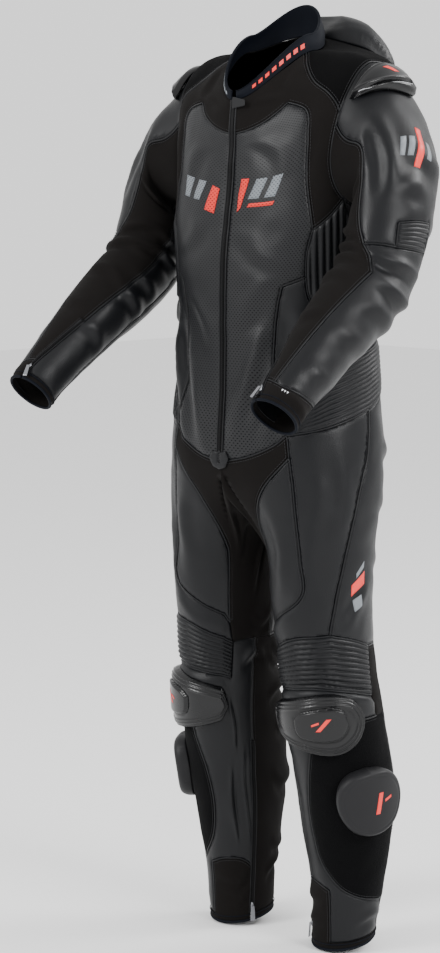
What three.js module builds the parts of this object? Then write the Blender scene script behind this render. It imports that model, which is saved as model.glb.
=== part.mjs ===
// Motorcycle race suit: one-piece leather and stretch-textile suit, worn shape kept hollow.
// Millimetres, +Z up, the wearer faces -Y, the wearer's left is +X.
// The origin is the centre of the neck seam, where the wearer's neck and shoulders hold the suit.
import * as THREE from 'three';

const GAP = 0.36;         // seam gap between neighbouring cut pieces
const LEATHER = 1.4;      // wall of a leather piece
const TEXTILE = 1.2;      // wall of a stretch textile piece
const EDGE = 70;          // longest edge inside a panel's mesh
const SEAM_EDGE = 38;     // longest edge along a seam
const WIDEST = 36;        // most degrees an edge spans round a limb

// Body rings, neck to hip. z at side, front and back; half width; y at front, side and back; squareness.
const TORSO = [
  { at: 0, zs: -2, zf: -77, zb: 22, a: 68, yf: -102, ys: 4, yb: 66, n: 2.0 },
  { at: 40, zs: -3, zf: -92, zb: 14, a: 102, yf: -103, ys: 8, yb: 90, n: 2.0 },
  { at: 90, zs: -9, zf: -112, zb: 2, a: 146, yf: -104, ys: 12, yb: 118, n: 2.1 },
  { at: 140, zs: -25, zf: -136, zb: -22, a: 180, yf: -105, ys: 14, yb: 142, n: 2.2 },
  { at: 190, zs: -62, zf: -163, zb: -58, a: 191, yf: -107, ys: 16, yb: 154, n: 2.3 },
  { at: 250, zs: -138, zf: -207, zb: -126, a: 189, yf: -111, ys: 16, yb: 158, n: 2.4 },
  { at: 320, zs: -224, zf: -262, zb: -216, a: 186, yf: -119, ys: 12, yb: 150, n: 2.4 },
  { at: 390, zs: -300, zf: -318, zb: -296, a: 181, yf: -125, ys: 6, yb: 136, n: 2.3 },
  { at: 460, zs: -370, zf: -376, zb: -368, a: 175, yf: -127, ys: 0, yb: 120, n: 2.2 },
  { at: 530, zs: -440, zf: -440, zb: -440, a: 171, yf: -126, ys: -2, yb: 112, n: 2.2 },
  { at: 600, zs: -510, zf: -510, zb: -510, a: 176, yf: -127, ys: -2, yb: 114, n: 2.2 },
  { at: 670, zs: -580, zf: -580, zb: -580, a: 182, yf: -130, ys: -4, yb: 114, n: 2.3 },
  { at: 730, zs: -640, zf: -640, zb: -640, a: 183, yf: -130, ys: -4, yb: 114, n: 2.4 },
];
const CROTCH = 730;       // station where the two legs part
const CROTCH_DROP = 82;   // depth of the crotch below that station

// Leg rings: centre, tip (front down), half sizes outward, inward, forward, backward, turn-out of the toes.
const LEG = [
  { at: 850, c: [103, -8, -760], tip: 0, o: 75, i: 84, f: 95, b: 84, toe: 4 },
  { at: 940, c: [105, -6, -850], tip: 0, o: 69, i: 80, f: 90, b: 78, toe: 8 },
  { at: 1020, c: [108, -1, -930], tip: 2, o: 68, i: 76, f: 84, b: 80, toe: 12 },
  { at: 1090, c: [112, 5, -1000], tip: 4, o: 71, i: 74, f: 80, b: 82, toe: 16 },
  { at: 1150, c: [116, 13, -1060], tip: 6, o: 73, i: 74, f: 79, b: 86, toe: 18 },
  { at: 1210, c: [120, 22, -1115], tip: 7, o: 72, i: 75, f: 76, b: 87, toe: 18 },
  { at: 1290, c: [123, 31, -1195], tip: 7, o: 67, i: 73, f: 68, b: 82, toe: 16 },
  { at: 1370, c: [121, 34, -1270], tip: 7, o: 57, i: 63, f: 59, b: 68, toe: 14 },
  { at: 1440, c: [117, 33, -1340], tip: 8, o: 50, i: 53, f: 51, b: 56, toe: 12 },
  { at: 1490, c: [113, 30, -1388], tip: 12, o: 49, i: 50, f: 50, b: 53, toe: 12 },
];
const LEG_FRONT = -52;    // ring angle the front centre line takes on the leg
const LEG_BACK = 232;     // ring angle the back centre line takes on the leg

// Sleeve rings: centre, lean of the ring toward the armhole, half sizes forward, backward, outward, inward.
const ARM = [
  { at: 70, c: [222, 14, -158], lean: 68, f: 80, b: 80, o: 84, i: 92 },
  { at: 130, c: [240, 0, -205], lean: 45, f: 74, b: 74, o: 66, i: 76 },
  { at: 195, c: [247, -20, -250], lean: 17, f: 67, b: 70, o: 54, i: 58 },
  { at: 255, c: [247, -38, -294], lean: 5, f: 62, b: 68, o: 53, i: 55 },
  { at: 310, c: [249, -64, -336], lean: 0, f: 58, b: 69, o: 53, i: 54 },
  { at: 370, c: [252, -109, -374], lean: 0, f: 55, b: 65, o: 53, i: 52 },
  { at: 440, c: [255, -166, -418], lean: 0, f: 48, b: 56, o: 49, i: 47 },
  { at: 510, c: [258, -223, -467], lean: 0, f: 42, b: 46, o: 42, i: 41 },
  { at: 565, c: [260, -265, -504], lean: 0, f: 38, b: 40, o: 38, i: 37 },
  { at: 600, c: [261, -288, -527], lean: 0, f: 37, b: 39, o: 37, i: 36 },
];
const ARMHOLE = { theta: 90, half: 34, at: 238, up: 108, down: 94 };

const rad = THREE.MathUtils.degToRad;
const vec = (x, y, z) => new THREE.Vector3(x, y, z);
const power = (v, n) => Math.sign(v) * Math.abs(v) ** (2 / n);

// Cubic spline through ring points that leaves each ring smoothly.
function alongRings(rings, at, point) {
  const last = rings.length - 1;
  let k = 0;
  while (k < last - 1 && at >= rings[k + 1].at) k += 1;
  const slope = (j) => {
    const lo = Math.max(j - 1, 0);
    const hi = Math.min(j + 1, last);
    return point(hi).sub(point(lo)).divideScalar(rings[hi].at - rings[lo].at);
  };
  const h = rings[k + 1].at - rings[k].at;
  const t = (at - rings[k].at) / h;
  return point(k).multiplyScalar(2 * t ** 3 - 3 * t ** 2 + 1)
    .addScaledVector(slope(k), h * (t ** 3 - 2 * t ** 2 + t))
    .addScaledVector(point(k + 1), 3 * t ** 2 - 2 * t ** 3)
    .addScaledVector(slope(k + 1), h * (t ** 3 - t ** 2));
}

function torsoPoint(r, theta) {
  const c = Math.cos(rad(theta));
  const w = Math.abs(power(c, r.n));
  const front = c > 0;
  return vec(
    r.a * power(Math.sin(rad(theta)), r.n),
    r.ys + w * ((front ? r.yf : r.yb) - r.ys),
    r.zs + w ** 1.6 * ((front ? r.zf : r.zb) - r.zs),
  );
}

function crotchPoint(theta) {
  const r = TORSO[TORSO.length - 1];
  if (theta <= 180) return torsoPoint(r, theta);
  const c = Math.cos(rad(theta - 180));
  const s = Math.sin(rad(theta - 180));
  const y = r.ys + c * (c > 0 ? r.yb - r.ys : r.ys - r.yf);
  return vec(0, y, r.zs - CROTCH_DROP * Math.max(s, 0) ** 0.8);
}

function legPoint(r, theta) {
  const back = LEG_BACK - LEG_FRONT;
  const e = rad(theta <= 180 ? LEG_FRONT + theta * back / 180 : LEG_BACK + (theta - 180) * (360 - back) / 180);
  const x = Math.sin(e) * (Math.sin(e) > 0 ? r.o : r.i);
  const y = -Math.cos(e) * (Math.cos(e) > 0 ? r.f : r.b);
  const t = rad(r.toe);
  const turned = x * Math.sin(t) + y * Math.cos(t);
  return vec(
    r.c[0] + x * Math.cos(t) - y * Math.sin(t),
    r.c[1] + turned * Math.cos(rad(r.tip)),
    r.c[2] + turned * Math.sin(rad(r.tip)),
  );
}

const BODY = [...TORSO, ...LEG];

// Left half of the body: theta 0 front, 90 side, 180 back, on to 360 round the inner leg below the crotch.
function body(theta, at) {
  const turn = ((theta % 360) + 360) % 360;
  if (at < CROTCH - 0.01 && turn > 180) return body(360 - turn, at).multiply(vec(-1, 1, 1));
  const top = TORSO.length - 1;
  const free = crotchPoint(turn).multiplyScalar(1.6).addScaledVector(legPoint(LEG[0], turn), -0.6);
  return alongRings(BODY, at, (k) => {
    if (k > top) return legPoint(LEG[k - top - 1], turn);
    if (k === top) return crotchPoint(turn);
    return turn > 180 ? free.clone() : torsoPoint(TORSO[k], turn);
  });
}

function armholePlace(psi) {
  const s = Math.sin(rad(psi));
  return [
    ARMHOLE.theta - ARMHOLE.half * Math.cos(rad(psi)),
    ARMHOLE.at - s * (s > 0 ? ARMHOLE.up : ARMHOLE.down),
  ];
}

const ARM_FRAMES = ARM.map((r, k) => {
  const before = ARM[Math.max(k - 1, 0)].c;
  const after = ARM[Math.min(k + 1, ARM.length - 1)].c;
  const down = vec(...after).sub(vec(...before)).normalize();
  const side = vec(1, 0, 0).addScaledVector(down, -down.x).normalize();
  const front = down.clone().cross(side);
  const out = side.clone().multiplyScalar(Math.cos(rad(r.lean))).addScaledVector(down, -Math.sin(rad(r.lean)));
  return { centre: vec(...r.c), front, out };
});

// Left sleeve: psi 0 front, 90 outer, 180 back, 270 inner; station 0 is the armhole seam, 600 the cuff.
const SLEEVE = [{ at: 0 }, ...ARM];
function sleeve(psi, at) {
  const c = Math.cos(rad(psi));
  const s = Math.sin(rad(psi));
  return alongRings(SLEEVE, at, (k) => {
    if (k === 0) return body(...armholePlace(psi));
    const r = ARM[k - 1];
    const frame = ARM_FRAMES[k - 1];
    return frame.centre.clone()
      .addScaledVector(frame.front, c * (c > 0 ? r.f : r.b))
      .addScaledVector(frame.out, s * (s > 0 ? r.o : r.i));
  });
}

function slopeNormal(chart, u, at) {
  const lowest = chart === sleeve ? 0 : at > CROTCH - 0.01 ? CROTCH : 0;
  const highest = chart === sleeve ? 600 : 1490;
  const a0 = Math.max(at - 1, lowest);
  const a1 = Math.min(at + 1, highest);
  const du = chart(u + 0.2, at).sub(chart(u - 0.2, at));
  const ds = chart(u, a1).sub(chart(u, a0));
  return ds.cross(du).normalize();
}

// Outward direction; on the armhole and on the centre line it is shared by the pieces that meet there.
function outward(chart, u, at) {
  const n = slopeNormal(chart, u, at);
  if (chart === sleeve && at < 0.01) n.add(slopeNormal(body, ...armholePlace(u)));
  if (chart === body && at < CROTCH + 0.01 && Math.abs(chart(u, at).x) < 0.01) n.x = 0;
  return n.normalize();
}

const SURFACES = { body, sleeve };

// One seam point: place on the chart, position, and the direction the wall is measured along.
function station(chart, u, at) {
  const surface = SURFACES[chart];
  const own = slopeNormal(surface, u, at);
  const n = outward(surface, u, at);
  return { u, at, p: surface(u, at), n, miter: 1 / Math.max(0.45, own.dot(n)) };
}

// Points along a seam, close enough together that both neighbours can share them.
function seam(chart, points, smooth = true) {
  const surface = SURFACES[chart];
  const out = [];
  const curve = new THREE.CatmullRomCurve3(points.map(([u, at]) => vec(u, at, 0)), false, 'centripetal');
  for (let k = 0; k < points.length - 1; k += 1) {
    const a = surface(...points[k]);
    const b = surface(...points[k + 1]);
    const steps = Math.max(1, Math.ceil(a.distanceTo(b) / SEAM_EDGE));
    for (let j = 0; j < steps; j += 1) {
      const t = j / steps;
      const q = smooth && points.length > 2
        ? curve.getPoint((k + t) / (points.length - 1))
        : vec(...points[k], 0).lerp(vec(...points[k + 1], 0), t);
      out.push(station(chart, q.x, q.y));
    }
  }
  out.push(station(chart, ...points[points.length - 1]));
  return out;
}

// The armhole seam, sampled every ten degrees; on the body side it carries the sleeve's shared direction.
function armhole(chart, from, to) {
  const count = Math.round(Math.abs(to - from) / 10);
  return Array.from({ length: count + 1 }, (_, k) => {
    const psi = from + Math.sign(to - from) * 10 * k;
    const s = station('sleeve', psi, 0);
    if (chart === 'body') [s.u, s.at] = armholePlace(psi);
    return s;
  });
}

function ring(from, to, at, step, chart = 'body') {
  const count = Math.round(Math.abs(to - from) / step);
  return Array.from({ length: count + 1 }, (_, k) => station(chart, from + (to - from) * k / count, at));
}

// ---- seams of the left half: theta and station on the body, psi and station on the sleeve ----
const B = (...points) => seam('body', points);
const S = (...points) => seam('sleeve', points);
const ZIP_HALF = 8;       // half width of the main zip's tape

// Place at a station that lies so far out from the front centre line.
function sideways(x, at) {
  let lo = 0;
  let hi = 20;
  for (let k = 0; k < 40; k += 1) {
    const mid = (lo + hi) / 2;
    if (body(mid, at).x < x) lo = mid;
    else hi = mid;
  }
  return [(lo + hi) / 2, at];
}
const beside = (at) => sideways(ZIP_HALF, at);

const SEAMS = {
  neckFront: ring(beside(0)[0], 80, 0, 13),
  neckBack: ring(80, 180, 0, 12.5),
  zipChest: B(beside(0), beside(40), beside(80), beside(124)),
  zipBelly: B(beside(124), beside(220), beside(320), beside(460), beside(600), beside(717)),
  zipEnd: B(beside(717), [0, 717]),
  frontShort: B([0, 717], [0, 730]),
  shoulder: [...B([80, 0], [66, 36], [57, 82], [57, 130]), armhole('body', 30, 30)[0]],
  armYoke: armhole('body', 30, -50),
  armShoulder: armhole('body', 30, 150),
  armBack: armhole('body', 150, 230),
  armSide: armhole('body', 230, 310),
  yokeV: B(beside(124), [24, 102], [38, 88]),
  frontSide: B([38, 88], [43, 130], [41, 188], [42, 262], [49, 346]),
  ribTop: [...B([49, 346], [58, 332]), armhole('body', -50, -50)[0]],
  ribBack: [armhole('body', -50, -50)[0], ...B([79, 372], [78, 430], [66, 466], [54, 474])],
  ribLow: B([54, 474], [50, 450], [48, 424]),
  ribUp: B([48, 424], [47, 386], [49, 346]),
  frontNotch: B([48, 424], [34, 438]),
  frontLow: B([34, 438], [31, 500], [30, 564], [33, 625], [37, 670]),
  groinTop: B([37, 670], [28, 688], [14, 706], beside(717)),
  hipTop: B([37, 670], [48, 610], [64, 574], [100, 545], [131, 530]),
  sideBack: [armhole('body', 230, 230)[0], ...B([124, 380], [130, 460], [131, 530])],
  hipBack: B([131, 530], [133, 612]),
  hipBottomBack: B([133, 612], [112, 620], [95, 634]),
  hipBottomFront: B([95, 634], [66, 656], [37, 670]),
  backYokeLow: [armhole('body', 150, 150)[0], ...B([135, 150], [158, 150], [180, 156])],
  backCentreTop: B([180, 0], [180, 156]),
  backCentre: B([180, 156], [180, 640]),
  backLow: B([133, 612], [155, 632], [180, 640]),
  seatCentre: B([180, 640], [180, 730]),
  crotchBack: ring(180, 200, 730, 10),
  crotchFront: ring(200, 360, 730, 16),
  seatInner: B([200, 730], [205, 850], [222, 1010]),
  kneeBackTop: B([222, 1010], [180, 1006], [135, 1000]),
  kneeSideTop: B([135, 1000], [115, 1004], [93.5, 1002]),
  thighSeam: B([95, 634], [92, 700], [87, 756], [81, 810], [72, 892], [60, 977]),
  kneeTopOuter: B([93.5, 1002], [78, 988], [60, 977]),
  kneeTopInner: B([60, 977], [30, 984], [0, 1006], [-25, 1014]),
  innerLow: B([-25, 1014], [-15, 982]),
  thighFrontOuter: B([-15, 982], [20, 950], [44, 914], [45, 860], [42, 798], [38, 704]),
  thighFrontInner: B([38, 704], [20, 756], [9, 806], [-5, 902], [-15, 982]),
  hipCorner: B([38, 704], [37, 670]),
  innerKneeFront: B([-25, 1014], [-60, 1010], [-85, 1010]),
  innerKneeBack: B([-85, 1010], [-110, 1010], [-138, 1010]),
  kneeOuter: B([93.5, 1002], [89, 1078]),
  kneeBottom: B([89, 1078], [48, 1058], [0, 1066], [-25, 1070]),
  kneeInner: B([-25, 1070], [-25, 1014]),
  fieldOuterTop: B([89, 1078], [89, 1112]),
  fieldTop: B([89, 1112], [60, 1110], [32, 1112]),
  fieldFront: B([32, 1112], [27, 1150], [17, 1230], [16, 1290], [24, 1350], [48, 1394], [94, 1422], [104, 1424]),
  fieldTopBack: B([89, 1112], [104, 1116]),
  fieldBack: B([104, 1116], [104, 1250], [104, 1424]),
  calfSeamLow: B([104, 1424], [104, 1478]),
  ankleTop: B([-60, 1400], [-30, 1388], [12, 1384], [30, 1394]),
  ankleSide: B([30, 1394], [35, 1478]),
  hemFront: ring(-53, 35, 1478, 14.7),
  hemOuter: ring(35, 104, 1478, 17.25),
  hemBack: ring(104, 303, 1478, 18.1),
  hemEdge: ring(-53, 303, 1490, 17.8),
  hemEndFront: B([-53, 1478], [-53, 1490]),
  hemEndBack: B([303, 1478], [303, 1490]),
  inseam: B([-85, 1010], [-86, 1100], [-84, 1180]),
  ankleZipTop: B([-84, 1180], [-80, 1180]),
  ankleZipFront: B([-80, 1180], [-60, 1400]),
  ankleZipFrontLow: B([-60, 1400], [-53, 1478]),
  ankleZipBack: B([-84, 1180], [-57, 1478]),
  ankleZipEnd: B([-57, 1478], [-53, 1478]),
  armTextile: armhole('sleeve', -90, 20),
  armUpper: armhole('sleeve', 20, 230),
  armInner: armhole('sleeve', 230, 270),
  sleeveFrontTop: [armhole('sleeve', 20, 20)[0], ...S([-2, 50], [-8, 130], [-6, 218], [15, 290])],
  elbowFrontTop: S([15, 290], [40, 280], [66, 272]),
  ribNotchFront: S([66, 272], [60, 232]),
  ribNotchTop: S([60, 232], [90, 218], [116, 208]),
  ribNotchBack: S([116, 208], [131, 246]),
  ribNotchLow: S([66, 272], [100, 258], [131, 246]),
  elbowBackTop: S([131, 246], [180, 262], [230, 290]),
  elbowFront: S([15, 290], [34, 318], [46, 340]),
  forearmFront: S([46, 340], [36, 400], [24, 470], [8, 565]),
  sleeveBack: [armhole('sleeve', 230, 230)[0], ...S([231, 90], [230, 190], [230, 290])],
  forearmBack: S([230, 290], [232, 360], [226, 450], [222, 545]),
  cuffTop: S([8, 565], [37, 568], [90, 560], [144, 548], [222, 545]),
  textileBack: [armhole('sleeve', -90, -90)[0], ...S([-88, 90], [-84, 190], [-78, 280], [-70, 370], [-52, 470])],
  cuffZipTop: S([-52, 470], [-48, 470]),
  cuffZipFront: S([-48, 470], [-20.5, 560]),
  cuffZipFrontLow: S([-20.5, 560], [-12, 588]),
  cuffFront: S([8, 565], [-20.5, 560]),
  cuffZipBack: S([-52, 470], [-16, 588]),
  cuffZipEnd: S([-16, 588], [-12, 588]),
  cuffBack: S([222, 545], [222, 588]),
  cuffLow: ring(222, 344, 588, 20.33, 'sleeve'),
  cuffEdge: ring(-12, 344, 600, 22.25, 'sleeve'),
  cuffEndFront: S([-12, 588], [-12, 600]),
  cuffEndBack: S([344, 588], [344, 600]),
};

// The cut pieces of one half. A seam named with a leading minus runs backwards; "+360" turns it once round.
// The two halves of a piece marked across are one cut piece, whole over the centre line.
const PANELS = {
  chest_yoke: { wall: TEXTILE, kind: 'textile',
    edge: ['neckFront', 'shoulder', 'armYoke', '-ribTop', '-frontSide', '-yokeV', '-zipChest'] },
  front_panel: { wall: LEATHER, kind: 'perforated',
    edge: ['zipBelly', '-groinTop', '-frontLow', '-frontNotch', 'ribUp', '-frontSide', '-yokeV'] },
  side_rib: { wall: LEATHER, kind: 'leather', edge: ['ribTop', 'ribBack', 'ribLow', 'ribUp'] },
  side_panel: { wall: LEATHER, kind: 'leather',
    edge: ['armSide', 'ribBack', 'ribLow', 'frontNotch', 'frontLow', 'hipTop', '-sideBack'] },
  hip_rib: { wall: LEATHER, kind: 'leather',
    edge: ['hipTop', 'hipBack', 'hipBottomBack', 'hipBottomFront'] },
  thigh_side: { wall: LEATHER, kind: 'leather',
    edge: ['-hipBottomFront', 'thighSeam', 'kneeTopInner', 'innerLow', 'thighFrontOuter', 'hipCorner'] },
  thigh_front: { wall: LEATHER, kind: 'leather', edge: ['thighFrontInner', 'thighFrontOuter'] },
  knee_rib: { wall: LEATHER, kind: 'leather',
    edge: ['-kneeTopInner', '-kneeTopOuter', 'kneeOuter', 'kneeBottom', 'kneeInner'] },
  puck_field: { wall: TEXTILE, kind: 'loop', edge: ['fieldTop', 'fieldFront', '-fieldBack', '-fieldTopBack'] },
  shin: { wall: LEATHER, kind: 'leather',
    edge: ['innerKneeFront', 'inseam', 'ankleZipTop', 'ankleZipFront', 'ankleTop', 'ankleSide', 'hemOuter',
      '-calfSeamLow', '-fieldFront', '-fieldTop', '-fieldOuterTop', 'kneeBottom', 'kneeInner'] },
  ankle: { wall: TEXTILE, kind: 'textile',
    edge: ['ankleTop', 'ankleSide', 'hemOuter', 'hemBack', 'hemEndBack', '-hemEdge', '-hemEndFront',
      '-ankleZipFrontLow'] },
  calf: { wall: TEXTILE, kind: 'textile',
    edge: ['kneeOuter', 'fieldOuterTop', 'fieldTopBack', 'fieldBack', 'calfSeamLow', 'hemBack', 'ankleZipBack+360',
      '-inseam+360', 'innerKneeBack+360', 'kneeBackTop', 'kneeSideTop'] },
  sleeve_upper: { wall: LEATHER, kind: 'leather', gap: 1.3,
    edge: ['armUpper', 'sleeveBack', '-elbowBackTop', '-ribNotchBack', '-ribNotchTop', '-ribNotchFront',
      '-elbowFrontTop', '-sleeveFrontTop'] },
  sleeve_rib: { wall: LEATHER, kind: 'leather', edge: ['ribNotchFront', 'ribNotchTop', 'ribNotchBack', '-ribNotchLow'] },
  forearm: { wall: LEATHER, kind: 'leather',
    edge: ['elbowFrontTop', 'ribNotchLow', 'elbowBackTop', 'forearmBack', '-cuffTop', '-forearmFront', '-elbowFront'] },
  sleeve_textile: { wall: TEXTILE, kind: 'textile',
    edge: ['armTextile', 'sleeveFrontTop', 'elbowFront', 'forearmFront', 'cuffFront', '-cuffZipFront', '-cuffZipTop',
      '-textileBack'] },
  sleeve_inner: { wall: LEATHER, kind: 'leather', gap: 1.3,
    edge: ['armInner', 'textileBack+360', 'cuffZipBack+360', '-cuffLow', '-cuffBack', '-forearmBack', '-sleeveBack'] },
  cuff: { wall: TEXTILE, kind: 'textile',
    edge: ['cuffTop', 'cuffBack', 'cuffLow', 'cuffEndBack', '-cuffEdge', '-cuffEndFront', '-cuffZipFrontLow',
      '-cuffFront'] },
  back_yoke: { wall: TEXTILE, kind: 'textile', across: true,
    edge: ['neckBack', 'backCentreTop', '-backYokeLow', '-armShoulder', '-shoulder'] },
  back_panel: { wall: LEATHER, kind: 'leather', across: true,
    edge: ['backYokeLow', 'backCentre', '-backLow', '-hipBack', '-sideBack', '-armBack'] },
  seat: { wall: LEATHER, kind: 'leather', across: true,
    edge: ['hipBottomBack', 'thighSeam', '-kneeTopOuter', '-kneeSideTop', '-kneeBackTop', '-seatInner',
      '-crotchBack', '-seatCentre', '-backLow'] },
  inner_thigh: { wall: TEXTILE, kind: 'textile', across: true,
    edge: ['zipEnd+360', 'frontShort+360', '-crotchFront', 'seatInner', '-innerKneeBack+360', '-innerKneeFront+360',
      'innerLow+360', '-thighFrontInner+360', 'hipCorner+360', 'groinTop+360'] },
};

// ---- turning outlines into walls -------------------------------------------------------------

// A panel's outline: its seams head to tail, each station once.
function outline(names) {
  const loop = [];
  for (const name of names) {
    const back = name.startsWith('-');
    const [key, turn] = name.replace('-', '').split('+');
    if (!SEAMS[key]) throw new Error(`no seam ${key}`);
    let run = SEAMS[key].map((s) => ({ ...s, u: s.u + Number(turn ?? 0) }));
    if (back) run.reverse();
    if (loop.length > 0) {
      const end = loop[loop.length - 1].p;
      if (end.distanceTo(run[0].p) > 0.01 && end.distanceTo(run[run.length - 1].p) < 0.01) run.reverse();
      if (end.distanceTo(run[0].p) > 0.01) throw new Error(`seam ${name} does not follow`);
      run = run.slice(1);
    } else if (names.length > 1) {
      const next = SEAMS[names[1].replace('-', '').split('+')[0]];
      const ends = [next[0].p, next[next.length - 1].p];
      if (!ends.some((e) => e.distanceTo(run[run.length - 1].p) < 0.01)) run.reverse();
    }
    loop.push(...run);
  }
  const first = loop[0].p;
  if (first.distanceTo(loop[loop.length - 1].p) > 0.01) throw new Error(`outline of ${names[0]} stays open`);
  loop.pop();
  return loop;
}

function direction(a, b) {
  return b.clone().sub(a).normalize();
}

// Moves the stations of an outline inward by half a seam gap, staying on the surface.
function inset(loop, gap, across) {
  const area = THREE.ShapeUtils.area(loop.map((s) => ({ x: s.u, y: s.at })));
  const side = Math.sign(area);
  const centred = (s) => across && Math.abs(s.p.x) < 0.01;
  return loop.map((s, k) => {
    const before = loop[(k + loop.length - 1) % loop.length];
    const after = loop[(k + 1) % loop.length];
    const inward = [[before, s], [s, after]]
      .filter(([a, b]) => !(centred(a) && centred(b)))
      .map(([a, b]) => direction(a.p, b.p).cross(s.n).multiplyScalar(side).normalize());
    if (inward.length === 0) return s;
    const sum = inward.reduce((t, v) => t.add(v), vec(0, 0, 0));
    if (centred(s)) sum.x = 0;
    sum.normalize();
    const share = Math.max(0.35, Math.min(...inward.map((v) => v.dot(sum))));
    return { ...s, p: s.p.clone().addScaledVector(sum, gap / share) };
  });
}

const key = (a, b) => (a < b ? `${a},${b}` : `${b},${a}`);

function edgesOf(tris) {
  const map = new Map();
  tris.forEach((t, k) => {
    for (let j = 0; j < 3; j += 1) {
      const e = key(t[j], t[(j + 1) % 3]);
      if (!map.has(e)) map.set(e, []);
      map.get(e).push(k);
    }
  });
  return map;
}

const cornerOf = (t, a, b) => t.find((v) => v !== a && v !== b);
const flat = (s) => [s.u * 2.2, s.at];
function turn(a, b, c) {
  const [ax, ay] = flat(a);
  const [bx, by] = flat(b);
  const [cx, cy] = flat(c);
  return (bx - ax) * (cy - ay) - (by - ay) * (cx - ax);
}
function angleAt(c, a, b) {
  const from = (s) => vec(...flat(s), 0).sub(vec(...flat(c), 0));
  return from(a).angleTo(from(b));
}

// Turns inner edges so that triangles stay well shaped.
function flipEdges(pts, tris) {
  for (let pass = 0; pass < 12; pass += 1) {
    let changed = false;
    const used = new Set();
    for (const [e, pair] of edgesOf(tris)) {
      if (pair.length !== 2 || used.has(pair[0]) || used.has(pair[1])) continue;
      const [a, b] = e.split(',').map(Number);
      const c = cornerOf(tris[pair[0]], a, b);
      const d = cornerOf(tris[pair[1]], a, b);
      const wide = angleAt(pts[c], pts[a], pts[b]) + angleAt(pts[d], pts[a], pts[b]);
      const one = turn(pts[c], pts[d], pts[a]);
      const two = turn(pts[c], pts[d], pts[b]);
      const three = turn(pts[a], pts[b], pts[c]);
      const roomy = Math.abs(one) > 1e-3 && Math.abs(two) > 1e-3;
      if (wide < Math.PI + 0.02 || one * two >= 0 || !roomy || three === 0) continue;
      const order = (i, j, k) => (turn(pts[i], pts[j], pts[k]) < 0 ? [i, j, k] : [i, k, j]);
      tris[pair[0]] = order(c, d, a);
      tris[pair[1]] = order(c, d, b);
      used.add(pair[0]);
      used.add(pair[1]);
      changed = true;
    }
    if (!changed) break;
  }
}

// Fills an outline with a triangle mesh that follows the chart's surface.
function fill(loop, surface, longest) {
  const pts = [...loop];
  const contour = loop.map((s) => new THREE.Vector2(...flat(s)));
  const tris = THREE.ShapeUtils.triangulateShape(contour, []).map(([i, j, k]) => (
    turn(pts[i], pts[j], pts[k]) < 0 ? [i, j, k] : [i, k, j]));
  flipEdges(pts, tris);
  for (let pass = 0; pass < 14; pass += 1) {
    const long = [...edgesOf(tris)]
      .filter(([, pair]) => pair.length === 2)
      .map(([e, pair]) => {
        const [a, b] = e.split(',').map(Number);
        const bend = Math.abs(pts[a].u - pts[b].u) / WIDEST;
        return { a, b, pair, length: Math.max(pts[a].p.distanceTo(pts[b].p) / longest, bend) };
      })
      .filter((e) => e.length > 1)
      .sort((x, y) => y.length - x.length);
    if (long.length === 0) break;
    const used = new Set();
    for (const e of long) {
      if (used.has(e.pair[0]) || used.has(e.pair[1])) continue;
      const m = pts.length;
      pts.push(station(surface, (pts[e.a].u + pts[e.b].u) / 2, (pts[e.a].at + pts[e.b].at) / 2));
      for (const k of e.pair) {
        used.add(k);
        const c = cornerOf(tris[k], e.a, e.b);
        const turned = (i, j, l) => (turn(pts[i], pts[j], pts[l]) < 0 ? [i, j, l] : [i, l, j]);
        tris.push(turned(e.a, m, c));
        tris[k] = turned(m, e.b, c);
      }
    }
    flipEdges(pts, tris);
  }
  return { pts, tris, rim: loop.length };
}

const FOLD = vec(0.11, 0.37, 1);

// Closes a filled outline into a wall: outer face, inner face and the cut edge between them.
function wallOf({ pts, tris, rim }, outer, inner, across) {
  const shift = (s, d) => s.p.clone().addScaledVector(s.n, (typeof d === 'function' ? d(s) : d) * s.miter);
  const verts = [...pts.map((s) => shift(s, outer)), ...pts.map((s) => shift(s, inner))];
  const n = pts.length;
  const faces = [];
  for (const [i, j, k] of tris) {
    faces.push([i, j, k], [n + i, n + k, n + j]);
  }
  const centred = (i) => across && Math.abs(pts[i].p.x) < 0.01;
  const rims = new Map();
  for (const [i, j, k] of tris) {
    for (const [a, b] of [[i, j], [j, k], [k, i]]) {
      if (rims.has(key(a, b))) rims.delete(key(a, b));
      else rims.set(key(a, b), [a, b]);
    }
  }
  for (const [a, b] of rims.values()) {
    if (centred(a) && centred(b)) continue;
    // both neighbours fold their cut edges the same way
    if (pts[a].p.dot(FOLD) < pts[b].p.dot(FOLD)) faces.push([b, a, n + a], [b, n + a, n + b]);
    else faces.push([b, a, n + b], [a, n + a, n + b]);
  }
  if (!across) return { verts, faces };
  const at = new Map();
  const mirrored = verts.map((v, k) => {
    if (Math.abs(v.x) < 0.01) {
      v.x = 0;
      return k;
    }
    at.set(k, verts.length + at.size);
    return at.get(k);
  });
  const twin = verts.filter((v, k) => at.has(k)).map((v) => vec(-v.x, v.y, v.z));
  faces.push(...faces.map(([i, j, k]) => [mirrored[i], mirrored[k], mirrored[j]]));
  return { verts: [...verts, ...twin], faces };
}

const suit = new THREE.Group();
suit.name = 'race_suit';

const FINISH = {
  leather: { color: 0x17181a, roughness: 0.48 },
  perforated: { color: 0x1b1c1e, roughness: 0.5 },
  textile: { color: 0x1a1817, roughness: 0.9 },
  loop: { color: 0x0e0e0f, roughness: 0.97 },
  trim: { color: 0x10141b, roughness: 0.7 },
  plastic: { color: 0x202124, roughness: 0.3 },
  slider: { color: 0x27282a, roughness: 0.55 },
  metal: { color: 0x6d7075, roughness: 0.35, metalness: 0.9 },
};

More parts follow.
